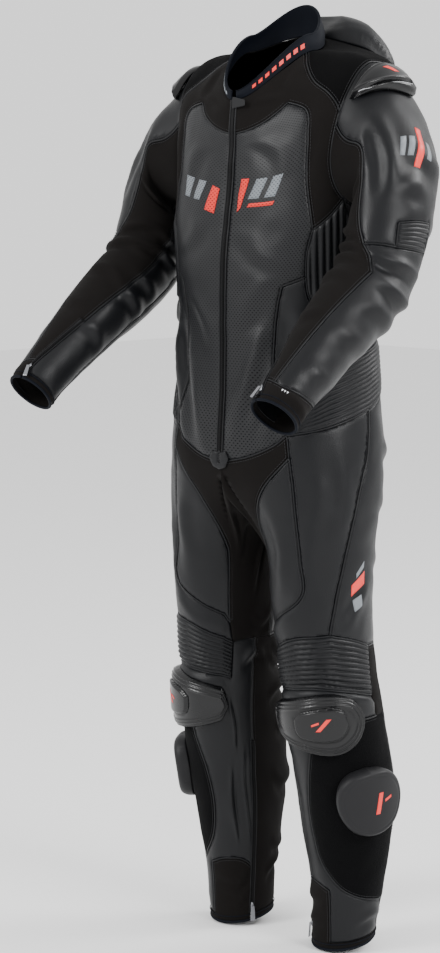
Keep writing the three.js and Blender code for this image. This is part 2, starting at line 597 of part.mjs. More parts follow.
function addMesh(name, { verts, faces }, finish) {
  const geometry = new THREE.BufferGeometry();
  geometry.setAttribute('position', new THREE.Float32BufferAttribute(verts.flatMap((v) => [v.x, v.y, v.z]), 3));
  geometry.setIndex(faces.flat());
  geometry.computeVertexNormals();
  const mesh = new THREE.Mesh(geometry, new THREE.MeshStandardMaterial({ name: finish, ...FINISH[finish] }));
  mesh.name = name;
  suit.add(mesh);
  return mesh;
}

function mirrorOf({ verts, faces }) {
  return { verts: verts.map((v) => vec(-v.x, v.y, v.z)), faces: faces.map(([i, j, k]) => [i, k, j]) };
}

function addPair(name, solid, finish) {
  addMesh(`${name}_left`, solid, finish);
  addMesh(`${name}_right`, mirrorOf(solid), finish);
}

for (const [name, panel] of Object.entries(PANELS)) {
  const loop = inset(outline(panel.edge), (panel.gap ?? GAP) / 2, panel.across);
  const surface = panel.edge.some((e) => /sleeve|arm(Textile|Upper|Inner)|cuff|ribNotch/.test(e)) ? 'sleeve' : 'body';
  const solid = wallOf(fill(loop, surface, EDGE), 0, -panel.wall, panel.across);
  if (panel.across) addMesh(name, solid, panel.kind);
  else addPair(name, solid, panel.kind);
}

// ---- hard and padded pieces sewn on the panels: outline on the chart, underside and crown heights ----
const LIFT = 0.6;         // clear space between a panel and what is fastened on it
const PADS = {
  knee_armour: { surface: 'body', crown: 17.3, bevel: 25, finish: 'plastic', under: 1.35,
    edge: [[-20, 1112], [-6, 1088], [24, 1071], [50, 1063], [67, 1074], [73, 1104], [66, 1138], [50, 1158],
      [24, 1152], [-4, 1134]] },
  knee_puck: { surface: 'body', crown: 23, bevel: 12, finish: 'slider', under: 1.6,
    edge: [[66, 1186], [79, 1192], [89, 1212], [93, 1242], [88, 1272], [78, 1290], [64, 1295], [52, 1284],
      [44, 1258], [42, 1230], [46, 1206], [54, 1191]] },
  shoulder_armour: { surface: 'sleeve', crown: 16, bevel: 24, finish: 'plastic', under: 3.4,
    edge: [[40, 15], [46, 36], [62, 54], [86, 62], [108, 56], [122, 38], [128, 16], [108, 10], [84, 9], [58, 10]] },
};

// Distance from a point on the chart to an outline, in chart units near to millimetres.
function edgeDistance(s, loop) {
  const q = new THREE.Vector3(...flat(s), 0);
  const line = new THREE.Line3();
  const foot = vec(0, 0, 0);
  return Math.min(...loop.map((a, k) => {
    const b = loop[(k + 1) % loop.length];
    line.set(vec(...flat(a), 0), vec(...flat(b), 0)).closestPointToPoint(q, true, foot);
    return foot.distanceTo(q);
  }));
}

// Rounded rise from the rim to the crown.
const rise = (d, bevel) => Math.sqrt(Math.max(0, 1 - (1 - Math.min(d / bevel, 1)) ** 2));

for (const [name, pad] of Object.entries(PADS)) {
  const loop = pad.edge.map(([u, at]) => station(pad.surface, u, at));
  const meshed = fill(loop, pad.surface, 24);
  const under = pad.under ?? LIFT;
  const rim = under + 3;
  const outer = (s) => rim + (pad.crown - rim) * rise(edgeDistance(s, loop), pad.bevel);
  const solid = wallOf(meshed, outer, under, false);
  addPair(name, solid, pad.finish);
}

// Aero hump behind the collar: foam body under leather, highest just below the collar.
const HUMP = [[180, 12], [160, 13], [150, 34], [146, 84], [149, 160], [156, 230], [167, 282], [180, 296]];
const HUMP_PROFILE = [[12, 20], [50, 44], [90, 50], [150, 40], [220, 22], [296, 6]];
function humpHeight(s, loop) {
  let k = 0;
  while (k < HUMP_PROFILE.length - 2 && s.at > HUMP_PROFILE[k + 1][0]) k += 1;
  const [a0, h0] = HUMP_PROFILE[k];
  const [a1, h1] = HUMP_PROFILE[k + 1];
  const crest = THREE.MathUtils.lerp(h0, h1, Math.min(1, Math.max(0, (s.at - a0) / (a1 - a0))));
  return 6 + (crest - 4) * rise(edgeDistance(s, loop), 58);
}
const HUMP_LIFT = 1.8;
const humpLoop = [...B(...HUMP), ...seam('body', [[180, 296], [180, 150], [180, 12]]).slice(1, -1)];
const humpRim = [...B(...HUMP), ...B(...HUMP.map(([u, at]) => [360 - u, at]).reverse()).slice(1, -1)];
addMesh('back_hump', wallOf(fill(humpLoop, 'body', 34), (s) => humpHeight(s, humpRim), HUMP_LIFT, true), 'leather');

// Shield-shaped leather tab over the bottom end of the main zip.
const TAB = [[0, 702], [3.4, 701], [4.4, 712], [2.6, 724], [0, 728], [-2.6, 724], [-4.4, 712], [-3.4, 701]];
const tabLoop = TAB.map(([u, at]) => station('body', u, at));
addMesh('zip_end_tab', wallOf(fill(tabLoop, 'body', 60), 4.2, 2.4, false), 'leather');

// ---- collar: stands on the neck seam, open at the front, whole round the back ----
const COLLAR_TOP = { zs: 24, zf: -63, zb: 70, a: 61, yf: -103, ys: 2, yb: 57, n: 2.0 };
const COLLAR_WALL = 2.4;
function collarRow(theta, v) {
  const low = body(theta, 0);
  const top = torsoPoint(COLLAR_TOP, theta);
  const bulge = 3 * Math.sin(Math.PI * v) * Math.sin(rad(theta / 2));
  const p = low.lerp(top, v);
  return p.addScaledVector(vec(p.x, p.y - 4, 0).normalize(), bulge);
}
function collar() {
  const thetas = [...SEAMS.neckFront, ...SEAMS.neckBack.slice(1)].map((s) => s.u);
  const heights = [0.012, 0.35, 0.7, 1];
  const columns = [...thetas, ...thetas.slice(0, -1).reverse().map((t) => -t)];
  const verts = [];
  for (const inner of [0, 1]) {
    for (const t of columns) {
      for (const v of heights) {
        const side = Math.sign(t);
        const u = Math.abs(t);
        const across = collarRow(u + 1, v).sub(collarRow(Math.max(u - 1, 0), v));
        const n = collarRow(u, Math.min(v + 0.1, 1)).sub(collarRow(u, Math.max(v - 0.1, 0))).cross(across)
          .negate().normalize();
        const p = collarRow(u, v).addScaledVector(n, -COLLAR_WALL * inner);
        if (Math.abs(p.x) < 0.5) p.x = 0;
        verts.push(vec(p.x * side, p.y, p.z));
      }
    }
  }
  const rows = heights.length;
  const n = columns.length * rows;
  const faces = [];
  for (let c = 0; c < columns.length - 1; c += 1) {
    for (let r = 0; r < rows - 1; r += 1) {
      const [a, b, d, e] = [c * rows + r, (c + 1) * rows + r, c * rows + r + 1, (c + 1) * rows + r + 1];
      faces.push([a, b, d], [b, e, d], [n + a, n + d, n + b], [n + b, n + d, n + e]);
    }
    const [lo, lo2, hi, hi2] = [c * rows, (c + 1) * rows, c * rows + rows - 1, (c + 1) * rows + rows - 1];
    faces.push([lo2, lo, n + lo], [lo2, n + lo, n + lo2], [hi, hi2, n + hi], [hi2, n + hi2, n + hi]);
  }
  for (let r = 0; r < rows - 1; r += 1) {
    const end = (columns.length - 1) * rows + r;
    faces.push([r, r + 1, n + r], [r + 1, n + r + 1, n + r], [end + 1, end, n + end], [end + 1, n + end, n + end + 1]);
  }
  return { verts, faces };
}
addMesh('collar', collar(), 'trim');

// ---- zips: tape, raised teeth and slider in one strip between the two seams it is sewn to ----
const COLUMNS = [-1, -0.42, 0.42, 1];
function zip(chart, low, high, half, stops, slider) {
  const verts = [];
  const [u0, a0] = low;
  const [u1, a1] = high;
  for (const inner of [0, 1]) {
    for (const at of stops) {
      const t = (at - a0) / (a1 - a0);
      const middle = u0 + t * (u1 - u0);
      for (const c of COLUMNS) {
        const s = station(chart, middle + c * half(at), at);
        const onSlider = Math.abs(at - slider) < 6.5 && Math.abs(c) < 0.9;
        const height = inner ? -TEXTILE : Math.abs(c) > 0.9 ? 0 : onSlider ? 4.6 : 1.3;
        verts.push(s.p.addScaledVector(s.n, height * s.miter));
      }
    }
  }
  const w = COLUMNS.length;
  const n = stops.length * w;
  const faces = [];
  const quad = (a, b, c, d) => faces.push([a, b, c], [a, c, d]);
  for (let r = 0; r < stops.length - 1; r += 1) {
    for (let c = 0; c < w - 1; c += 1) {
      const [a, b, d, e] = [r * w + c, r * w + c + 1, (r + 1) * w + c, (r + 1) * w + c + 1];
      quad(a, d, e, b);
      quad(n + a, n + b, n + e, n + d);
    }
    const [l, l2, m, m2] = [r * w, (r + 1) * w, r * w + w - 1, (r + 1) * w + w - 1];
    quad(l, n + l, n + l2, l2);
    quad(m, m2, n + m2, n + m);
  }
  for (let c = 0; c < w - 1; c += 1) {
    const last = (stops.length - 1) * w;
    quad(c, c + 1, n + c + 1, n + c);
    quad(last + c + 1, last + c, n + last + c, n + last + c + 1);
  }
  return { verts, faces };
}
const spread = (from, to, count) => Array.from({ length: count + 1 }, (_, k) => from + (to - from) * k / count);
const around = (slider, stops) => (
  [...stops.filter((s) => Math.abs(s - slider) > 9), slider - 6.6, slider - 6.4, slider + 6.4, slider + 6.6]
    .sort((a, b) => a - b));
const zipStops = [...SEAMS.zipChest, ...SEAMS.zipBelly.slice(1)].map((s) => s.at);
zipStops[zipStops.length - 1] -= 0.4;
const tapeHalf = (at) => sideways(ZIP_HALF - 0.4, at)[0];
addMesh('main_zip', zip('body', [0, 0], [0, 717], tapeHalf, around(12, zipStops), 12), 'metal');
addPair('cuff_zip', zip('sleeve', [-50, 470.6], [-14, 588], () => 1.1, around(578, spread(470.6, 587.6, 4)), 578), 'metal');
addPair('ankle_zip', zip('body', [-82, 1180.6], [-55, 1478], () => 1.2, around(1466, spread(1180.6, 1477.6, 9)), 1466),
  'metal');

// ---- pull tabs: a tapered plate held at the slider, each free to swing ----
function plate(corners, n, thick) {
  const verts = [...corners, ...corners.map((c) => c.clone().addScaledVector(n, thick))];
  const faces = [[0, 2, 1], [0, 3, 2], [4, 5, 6], [4, 6, 7]];
  for (let k = 0; k < 4; k += 1) {
    const m = (k + 1) % 4;
    faces.push([k, m, 4 + m], [k, 4 + m, 4 + k]);
  }
  return { verts, faces };
}
// The plate starts at `from`, points along `dir`, lies clear of the surface whose outward direction is n.
function pull(from, dir, n, length, wide, narrow) {
  const d = dir.clone().addScaledVector(n, -dir.dot(n)).normalize();
  const w = n.clone().cross(d);
  const at = (along, across) => from.clone().addScaledVector(d, along).addScaledVector(w, across);
  return plate([at(0, -wide), at(length, -narrow), at(length, narrow), at(0, wide)], n, 1.6);
}
const down = vec(0, 0, -1);
const mainPull = station('body', 0, 12);
const mainFrom = mainPull.p.clone().addScaledVector(mainPull.n, 4.9).add(vec(2.4, 0, 0));
addMesh('main_zip_pull', pull(mainFrom, vec(1, 0, 0), mainPull.n, 26, 9, 4.5), 'leather');
const cuffPull = station('sleeve', -17, 578);
addPair('cuff_zip_pull', pull(cuffPull.p.clone().addScaledVector(cuffPull.n, 5.4), down, cuffPull.n, 20, 2.6, 3.6),
  'metal');
const anklePull = station('body', -56, 1466);
addPair('ankle_zip_pull', pull(anklePull.p.clone().addScaledVector(anklePull.n, 5.4), down, anklePull.n, 24, 3, 4),
  'metal');

export default suit;
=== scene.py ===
import math

import bmesh
import bpy
import numpy as np
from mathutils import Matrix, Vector, noise
from mathutils.geometry import delaunay_2d_cdt


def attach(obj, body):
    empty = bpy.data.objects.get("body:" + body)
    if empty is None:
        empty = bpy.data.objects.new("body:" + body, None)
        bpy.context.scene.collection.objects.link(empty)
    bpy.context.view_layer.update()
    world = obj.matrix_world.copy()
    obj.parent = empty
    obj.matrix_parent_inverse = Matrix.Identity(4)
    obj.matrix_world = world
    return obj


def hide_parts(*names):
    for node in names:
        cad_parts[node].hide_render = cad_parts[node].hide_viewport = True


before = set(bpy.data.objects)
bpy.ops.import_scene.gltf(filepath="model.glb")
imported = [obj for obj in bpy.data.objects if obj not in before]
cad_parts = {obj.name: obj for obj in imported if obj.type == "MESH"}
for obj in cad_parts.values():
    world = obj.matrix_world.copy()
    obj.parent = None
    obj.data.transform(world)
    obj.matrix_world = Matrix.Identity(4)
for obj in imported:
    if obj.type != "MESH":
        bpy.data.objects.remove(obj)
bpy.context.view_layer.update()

WALL = 1.4                        # thickness of the leather and textile
PITCH = 5.6     # spacing of the cloth's mesh
RIB_PITCH = 1.9   # the same in the ribbed panels
FINE = 1.4      # the same on armour and sliders
SEAM_PITCH = 5.0                  # longest spacing of points along a seam
CENTRE = 0.05                     # nearer to x = 0 than this lies on the centre line

# ---- the garment's form: the same ring tables as the CAD model, mm ----
# station, z at side, front, back, half width, y at front, side, back, squareness
TORSO = [
    (0, -2, -77, 22, 68, -102, 4, 66, 2.0),
    (40, -3, -92, 14, 102, -103, 8, 90, 2.0),
    (90, -9, -112, 2, 146, -104, 12, 118, 2.1),
    (140, -25, -136, -22, 180, -105, 14, 142, 2.2),
    (190, -62, -163, -58, 191, -107, 16, 154, 2.3),
    (250, -138, -207, -126, 189, -111, 16, 158, 2.4),
    (320, -224, -262, -216, 186, -119, 12, 150, 2.4),
    (390, -300, -318, -296, 181, -125, 6, 136, 2.3),
    (460, -370, -376, -368, 175, -127, 0, 120, 2.2),
    (530, -440, -440, -440, 171, -126, -2, 112, 2.2),
    (600, -510, -510, -510, 176, -127, -2, 114, 2.2),
    (670, -580, -580, -580, 182, -130, -4, 114, 2.3),
    (730, -640, -640, -640, 183, -130, -4, 114, 2.4),
]
CROTCH, CROTCH_DROP = 730, 82
# station, centre x, y, z, tip, half size outward, inward, forward, backward, turn-out
LEG = [
    (850, 103, -8, -760, 0, 75, 84, 95, 84, 4),
    (940, 105, -6, -850, 0, 69, 80, 90, 78, 8),
    (1020, 108, -1, -930, 2, 68, 76, 84, 80, 12),
    (1090, 112, 5, -1000, 4, 71, 74, 80, 82, 16),
    (1150, 116, 13, -1060, 6, 73, 74, 79, 86, 18),
    (1210, 120, 22, -1115, 7, 72, 75, 76, 87, 18),
    (1290, 123, 31, -1195, 7, 67, 73, 68, 82, 16),
    (1370, 121, 34, -1270, 7, 57, 63, 59, 68, 14),
    (1440, 117, 33, -1340, 8, 50, 53, 51, 56, 12),
    (1490, 113, 30, -1388, 12, 49, 50, 50, 53, 12),
]
LEG_FRONT, LEG_BACK = -52.0, 232.0
# station, centre x, y, z, lean, half size forward, backward, outward, inward
ARM = [
    (70, 222, 14, -158, 68, 80, 80, 84, 92),
    (130, 240, 0, -205, 45, 74, 74, 66, 76),
    (195, 247, -20, -250, 17, 67, 70, 54, 58),
    (255, 247, -38, -294, 5, 62, 68, 53, 55),
    (310, 249, -64, -336, 0, 58, 69, 53, 54),
    (370, 252, -109, -374, 0, 55, 65, 53, 52),
    (440, 255, -166, -418, 0, 48, 56, 49, 47),
    (510, 258, -223, -467, 0, 42, 46, 42, 41),
    (565, 260, -265, -504, 0, 38, 40, 38, 37),
    (600, 261, -288, -527, 0, 37, 39, 37, 36),
]
ARMHOLE = dict(theta=90, half=34, at=238, up=108, down=94)


def power(v, n):
    return np.sign(v) * np.abs(v) ** (2 / n)


def stack(x, y, z):
    return np.stack(np.broadcast_arrays(x, y, z), -1)


def along_rings(stations, rings, at):
    """Cubic spline through ring points; rings is (rings, points, 3)."""
    st = np.asarray(stations, float)
    k = np.clip(np.searchsorted(st, at, side="right") - 1, 0, len(st) - 2)
    n = np.arange(len(at))

    def slope(j):
        lo, hi = np.clip(j - 1, 0, len(st) - 1), np.clip(j + 1, 0, len(st) - 1)
        return (rings[hi, n] - rings[lo, n]) / (st[hi] - st[lo])[:, None]

    h = st[k + 1] - st[k]
    t = ((at - st[k]) / h)[:, None]
    h = h[:, None]
    return (
        (2 * t**3 - 3 * t**2 + 1) * rings[k, n]
        + h * (t**3 - 2 * t**2 + t) * slope(k)
        + (3 * t**2 - 2 * t**3) * rings[k + 1, n]
        + h * (t**3 - t**2) * slope(k + 1)
    )


def torso_point(row, theta):
    _, zs, zf, zb, a, yf, ys, yb, n = row
    c = np.cos(np.radians(theta))
    w = np.abs(power(c, n))
    y = ys + w * np.where(c > 0, yf - ys, yb - ys)
    z = zs + w**1.6 * np.where(c > 0, zf - zs, zb - zs)
    return stack(a * power(np.sin(np.radians(theta)), n), y, z)


def crotch_point(theta):
    row = TORSO[-1]
    around = np.radians(np.clip(theta - 180, 0, 180))
    c = np.cos(around)
    y = row[6] + c * np.where(c > 0, row[7] - row[6], row[6] - row[5])
    inner = stack(0.0, y, row[1] - CROTCH_DROP * np.maximum(np.sin(around), 0) ** 0.8)
    return np.where((theta <= 180)[:, None], torso_point(row, theta), inner)


def leg_point(row, theta):
    _, cx, cy, cz, tip, out, inw, fwd, bwd, toe = row
    back = LEG_BACK - LEG_FRONT
    outer = LEG_FRONT + theta * back / 180
    inner = LEG_BACK + (theta - 180) * (360 - back) / 180
    e = np.radians(np.where(theta <= 180, outer, inner))
    x = np.sin(e) * np.where(np.sin(e) > 0, out, inw)
    y = -np.cos(e) * np.where(np.cos(e) > 0, fwd, bwd)
    t, p = math.radians(toe), math.radians(tip)
    turned = x * math.sin(t) + y * math.cos(t)
    across = x * math.cos(t) - y * math.sin(t)
    return stack(cx + across, cy + turned * math.cos(p), cz + turned * math.sin(p))


def body(theta, at):
    """Left half: theta 0 front, 90 side, 180 back, to 360 round the inner leg below the crotch."""
    theta, at = np.asarray(theta, float) % 360, np.asarray(at, float)
    mirror = (at < CROTCH - 0.01) & (theta > 180)
    turn = np.where(mirror, 360 - theta, theta)
    free = 1.6 * crotch_point(turn) - 0.6 * leg_point(LEG[0], turn)
    inner = (turn > 180)[:, None]
    rings = [np.where(inner, free, torso_point(r, turn)) for r in TORSO[:-1]]
    rings += [crotch_point(turn)] + [leg_point(r, turn) for r in LEG]
    p = along_rings([r[0] for r in TORSO + LEG], np.stack(rings), at)
    p[mirror, 0] *= -1
    return p


def armhole_place(psi):
    s = np.sin(np.radians(psi))
    theta = ARMHOLE["theta"] - ARMHOLE["half"] * np.cos(np.radians(psi))
    return theta, ARMHOLE["at"] - s * np.where(s > 0, ARMHOLE["up"], ARMHOLE["down"])


def arm_frames():
    centre = np.array([r[1:4] for r in ARM], float)
    ends = [(max(k - 1, 0), min(k + 1, len(ARM) - 1)) for k in range(len(ARM))]
    down = np.array([centre[b] - centre[a] for a, b in ends])
    down /= np.linalg.norm(down, axis=1)[:, None]
    side = np.array([1.0, 0, 0]) - down * down[:, :1]
    side /= np.linalg.norm(side, axis=1)[:, None]
    front = np.cross(down, side)
    lean = np.radians([r[4] for r in ARM])[:, None]
    return centre, front, side * np.cos(lean) - down * np.sin(lean)


ARM_CENTRE, ARM_FRONT, ARM_OUT = arm_frames()


def sleeve(psi, at):
    """Left sleeve: psi 0 front, 90 outer, 180 back, 270 inner; station 0 is the armhole, 600 the cuff."""
    psi, at = np.asarray(psi, float), np.asarray(at, float)
    c, s = np.cos(np.radians(psi)), np.sin(np.radians(psi))
    rings = [body(*armhole_place(psi))]
    for k, row in enumerate(ARM):
        forward = c * np.where(c > 0, row[5], row[6])
        outward = s * np.where(s > 0, row[7], row[8])
        rings.append(ARM_CENTRE[k] + np.outer(forward, ARM_FRONT[k]) + np.outer(outward, ARM_OUT[k]))
    return along_rings([0] + [r[0] for r in ARM], np.stack(rings), at)


CHARTS = {"body": body, "sleeve": sleeve}


def unit(v):
    return v / np.maximum(np.linalg.norm(v, axis=1), 1e-9)[:, None]


def slope_normal(chart, u, at):
    f = CHARTS[chart]
    low = np.where(at > CROTCH - 0.01, CROTCH, 0) if chart == "body" else 0
    a0, a1 = np.maximum(at - 1, low), np.minimum(at + 1, 1490 if chart == "body" else 600)
    return unit(np.cross(f(u, a1) - f(u, a0), f(u + 0.2, at) - f(u - 0.2, at)))


def outward(chart, u, at):
    """Outward direction, shared by the pieces that meet on the armhole and on the centre line."""
    n = slope_normal(chart, u, at)
    if chart == "sleeve":
        rim = at < 0.01
        if rim.any():
            n[rim] += slope_normal("body", *armhole_place(u[rim]))
    else:
        near = (at < CROTCH + 0.01) & (np.abs(body(u, at)[:, 0]) < 0.01)
        n[near, 0] = 0
    return unit(n)


# ---- seams of the left half, as on the CAD model: (u, station) points ----
def armhole_run(first, last):
    return ("armhole", first, last)


SEAMS = {
    "neckFront": [(0, 0), (40, 0), (80, 0)],
    "neckBack": [(80, 0), (130, 0), (180, 0)],
    "zipFront": [(0, 0), (0, 124)],
    "zipBelly": [(0, 124), (0, 300), (0, 500), (0, 717)],
    "frontShort": [(0, 717), (0, 730)],
    "shoulder": [(80, 0), (66, 36), (57, 82), (57, 130), armhole_run(30, 30)],
    "armYoke": [armhole_run(30, -50)],
    "armShoulder": [armhole_run(30, 150)],
    "armBack": [armhole_run(150, 230)],
    "armSide": [armhole_run(230, 310)],
    "yokeV": [(0, 124), (24, 102), (38, 88)],
    "frontSide": [(38, 88), (43, 130), (41, 188), (42, 262), (49, 346)],
    "ribTop": [(49, 346), (58, 332), armhole_run(-50, -50)],
    "ribBack": [armhole_run(-50, -50), (79, 372), (78, 430), (66, 466), (54, 474)],
    "ribLow": [(54, 474), (50, 450), (48, 424)],
    "ribUp": [(48, 424), (47, 386), (49, 346)],
    "frontNotch": [(48, 424), (34, 438)],
    "frontLow": [(34, 438), (31, 500), (30, 564), (33, 625), (37, 670)],
    "groinTop": [(37, 670), (28, 688), (14, 706), (0, 717)],
    "hipTop": [(37, 670), (48, 610), (64, 574), (100, 545), (131, 530)],
    "sideBack": [armhole_run(230, 230), (124, 380), (130, 460), (131, 530)],
    "hipBack": [(131, 530), (133, 612)],
    "hipBottomBack": [(133, 612), (112, 620), (95, 634)],
    "hipBottomFront": [(95, 634), (66, 656), (37, 670)],
    "backYokeLow": [armhole_run(150, 150), (135, 150), (158, 150), (180, 156)],
    "backCentreTop": [(180, 0), (180, 156)],
    "backCentre": [(180, 156), (180, 400), (180, 640)],
    "backLow": [(133, 612), (155, 632), (180, 640)],
    "seatCentre": [(180, 640), (180, 730)],
    "crotchBack": [(180, 730), (200, 730)],
    "crotchFront": [(200, 730), (280, 730), (360, 730)],
    "seatInner": [(200, 730), (205, 850), (222, 1010)],
    "kneeBackTop": [(222, 1010), (180, 1006), (135, 1000)],
    "kneeSideTop": [(135, 1000), (115, 1004), (93.5, 1002)],
    "thighSeam": [(95, 634), (92, 700), (87, 756), (81, 810), (72, 892), (60, 977)],
    "kneeTopOuter": [(93.5, 1002), (78, 988), (60, 977)],
    "kneeTopInner": [(60, 977), (30, 984), (0, 1006), (-25, 1014)],
    "innerLow": [(-25, 1014), (-15, 982)],
    "thighFrontOuter": [(-15, 982), (20, 950), (44, 914), (45, 860), (42, 798), (38, 704)],
    "thighFrontInner": [(38, 704), (20, 756), (9, 806), (-5, 902), (-15, 982)],
    "hipCorner": [(38, 704), (37, 670)],
    "innerKneeFront": [(-25, 1014), (-60, 1010), (-85, 1010)],
    "innerKneeBack": [(-85, 1010), (-110, 1010), (-138, 1010)],
    "kneeOuter": [(93.5, 1002), (89, 1078)],
    "kneeBottom": [(89, 1078), (48, 1058), (0, 1066), (-25, 1070)],
    "kneeInner": [(-25, 1070), (-25, 1014)],
    "fieldOuterTop": [(89, 1078), (89, 1112)],
    "fieldTop": [(89, 1112), (60, 1110), (32, 1112)],
    "fieldFront": [(32, 1112), (27, 1150), (17, 1230), (16, 1290), (24, 1350), (48, 1394), (94, 1422),
                   (104, 1424)],
    "fieldTopBack": [(89, 1112), (104, 1116)],
    "fieldBack": [(104, 1116), (104, 1250), (104, 1424)],
    "calfSeamLow": [(104, 1424), (104, 1478)],
    "ankleTop": [(-60, 1400), (-30, 1388), (12, 1384), (30, 1394)],
    "ankleSide": [(30, 1394), (35, 1478)],
    "hemOuter": [(35, 1478), (104, 1478)],
    "hemBack": [(104, 1478), (303, 1478)],
    "hemEdge": [(-53, 1490), (303, 1490)],
    "hemEndFront": [(-53, 1478), (-53, 1490)],
    "hemEndBack": [(303, 1478), (303, 1490)],
    "inseam": [(-85, 1010), (-86, 1100), (-84, 1180)],
    "ankleZipTop": [(-84, 1180), (-80, 1180)],
    "ankleZipFront": [(-80, 1180), (-60, 1400)],
    "ankleZipFrontLow": [(-60, 1400), (-53, 1478)],
    "ankleZipBack": [(-84, 1180), (-57, 1478)],
    "armTextile": [armhole_run(-90, 20)],
    "armUpper": [armhole_run(20, 230)],
    "armInner": [armhole_run(230, 270)],
    "sleeveFrontTop": [armhole_run(20, 20), (-2, 50), (-8, 130), (-6, 218), (15, 290)],
    "elbowFrontTop": [(15, 290), (40, 280), (66, 272)],
    "ribNotchFront": [(66, 272), (60, 232)],
    "ribNotchTop": [(60, 232), (90, 218), (116, 208)],
    "ribNotchBack": [(116, 208), (131, 246)],
    "ribNotchLow": [(66, 272), (100, 258), (131, 246)],
    "elbowBackTop": [(131, 246), (180, 262), (230, 290)],
    "elbowFront": [(15, 290), (34, 318), (46, 340)],
    "forearmFront": [(46, 340), (36, 400), (24, 470), (8, 565)],
    "sleeveBack": [armhole_run(230, 230), (231, 90), (230, 190), (230, 290)],
    "forearmBack": [(230, 290), (232, 360), (226, 450), (222, 545)],
    "cuffTop": [(8, 565), (37, 568), (90, 560), (144, 548), (222, 545)],
    "textileBack": [armhole_run(-90, -90), (-88, 90), (-84, 190), (-78, 280), (-70, 370), (-52, 470)],
    "cuffZipTop": [(-52, 470), (-48, 470)],
    "cuffZipFront": [(-48, 470), (-20.5, 560)],
    "cuffZipFrontLow": [(-20.5, 560), (-12, 588)],
    "cuffFront": [(8, 565), (-20.5, 560)],
    "cuffZipBack": [(-52, 470), (-16, 588)],
    "cuffBack": [(222, 545), (222, 588)],
    "cuffLow": [(222, 588), (344, 588)],
    "cuffEdge": [(-12, 600), (344, 600)],
    "cuffEndFront": [(-12, 588), (-12, 600)],
    "cuffEndBack": [(344, 588), (344, 600)],
}
SLEEVE_SEAMS = set(list(SEAMS)[list(SEAMS).index("armTextile"):])

# name, chart, finish, whole over the centre line, seams round it; + turns a seam once round the leg or arm
PANELS = [
    ("chest_yoke", "body", "textile", False, "neckFront shoulder armYoke ribTop frontSide yokeV zipFront"),
    ("front_panel", "body", "perforated", False,
     "zipBelly groinTop frontLow frontNotch ribUp frontSide yokeV"),
    ("side_rib", "body", "leather", False, "ribTop ribBack ribLow ribUp"),
    ("side_panel", "body", "leather", False, "armSide ribBack ribLow frontNotch frontLow hipTop sideBack"),
    ("hip_rib", "body", "leather", False, "hipTop hipBack hipBottomBack hipBottomFront"),
    ("thigh_side", "body", "leather", False,
     "hipBottomFront thighSeam kneeTopInner innerLow thighFrontOuter hipCorner"),
    ("thigh_front", "body", "leather", False, "thighFrontInner thighFrontOuter"),
    ("knee_rib", "body", "leather", False, "kneeTopInner kneeTopOuter kneeOuter kneeBottom kneeInner"),
    ("puck_field", "body", "loop", False, "fieldTop fieldFront fieldBack fieldTopBack"),
    ("shin", "body", "leather", False,
     "innerKneeFront inseam ankleZipTop ankleZipFront ankleTop ankleSide hemOuter calfSeamLow fieldFront"
     " fieldTop fieldOuterTop kneeBottom kneeInner"),
    ("ankle", "body", "textile", False,
     "ankleTop ankleSide hemOuter hemBack hemEndBack hemEdge hemEndFront ankleZipFrontLow"),
    ("calf", "body", "textile", False,
     "kneeOuter fieldOuterTop fieldTopBack fieldBack calfSeamLow hemBack ankleZipBack+ inseam+"
     " innerKneeBack+ kneeBackTop kneeSideTop"),
    ("sleeve_upper", "sleeve", "leather", False,
     "armUpper sleeveBack elbowBackTop ribNotchBack ribNotchTop ribNotchFront elbowFrontTop"
     " sleeveFrontTop"),
    ("sleeve_rib", "sleeve", "leather", False, "ribNotchFront ribNotchTop ribNotchBack ribNotchLow"),
    ("forearm", "sleeve", "leather", False,
     "elbowFrontTop ribNotchLow elbowBackTop forearmBack cuffTop forearmFront elbowFront"),
    ("sleeve_textile", "sleeve", "textile", False,
     "armTextile sleeveFrontTop elbowFront forearmFront cuffFront cuffZipFront cuffZipTop textileBack"),
    ("sleeve_inner", "sleeve", "leather", False,
     "armInner textileBack+ cuffZipBack+ cuffLow cuffBack forearmBack sleeveBack"),
    ("cuff", "sleeve", "textile", False,
     "cuffTop cuffBack cuffLow cuffEndBack cuffEdge cuffEndFront cuffZipFrontLow cuffFront"),
    ("back_yoke", "body", "textile", True, "neckBack backCentreTop backYokeLow armShoulder shoulder"),
    ("back_panel", "body", "leather", True, "backYokeLow backCentre backLow hipBack sideBack armBack"),
    ("seat", "body", "leather", True,
     "hipBottomBack thighSeam kneeTopOuter kneeSideTop kneeBackTop seatInner crotchBack seatCentre"
     " backLow"),
    ("inner_thigh", "body", "textile", True,
     "frontShort+ crotchFront seatInner innerKneeBack+ innerKneeFront+ innerLow+ thighFrontInner+"
     " hipCorner+ groinTop+"),
]

WIDTH = {"body": 2.1, "sleeve": 1.05}   # mm of cloth to one degree round the chart


def curve(points, pitch, chart):
    """Evenly spaced places along a smooth line through chart points."""
    pts = np.array(points, float)
    if len(pts) == 1:
        return pts
    flat = pts * [WIDTH[chart], 1]
    run = np.r_[0, np.cumsum(np.linalg.norm(np.diff(flat, axis=0), axis=1))]
    count = max(2, int(math.ceil(run[-1] / pitch)) + 1)
    at = np.linspace(0, run[-1], count)
    out = along_rings(run, np.repeat(pts[:, None, :], count, axis=1), at)
    out[0], out[-1] = pts[0], pts[-1]
    return out


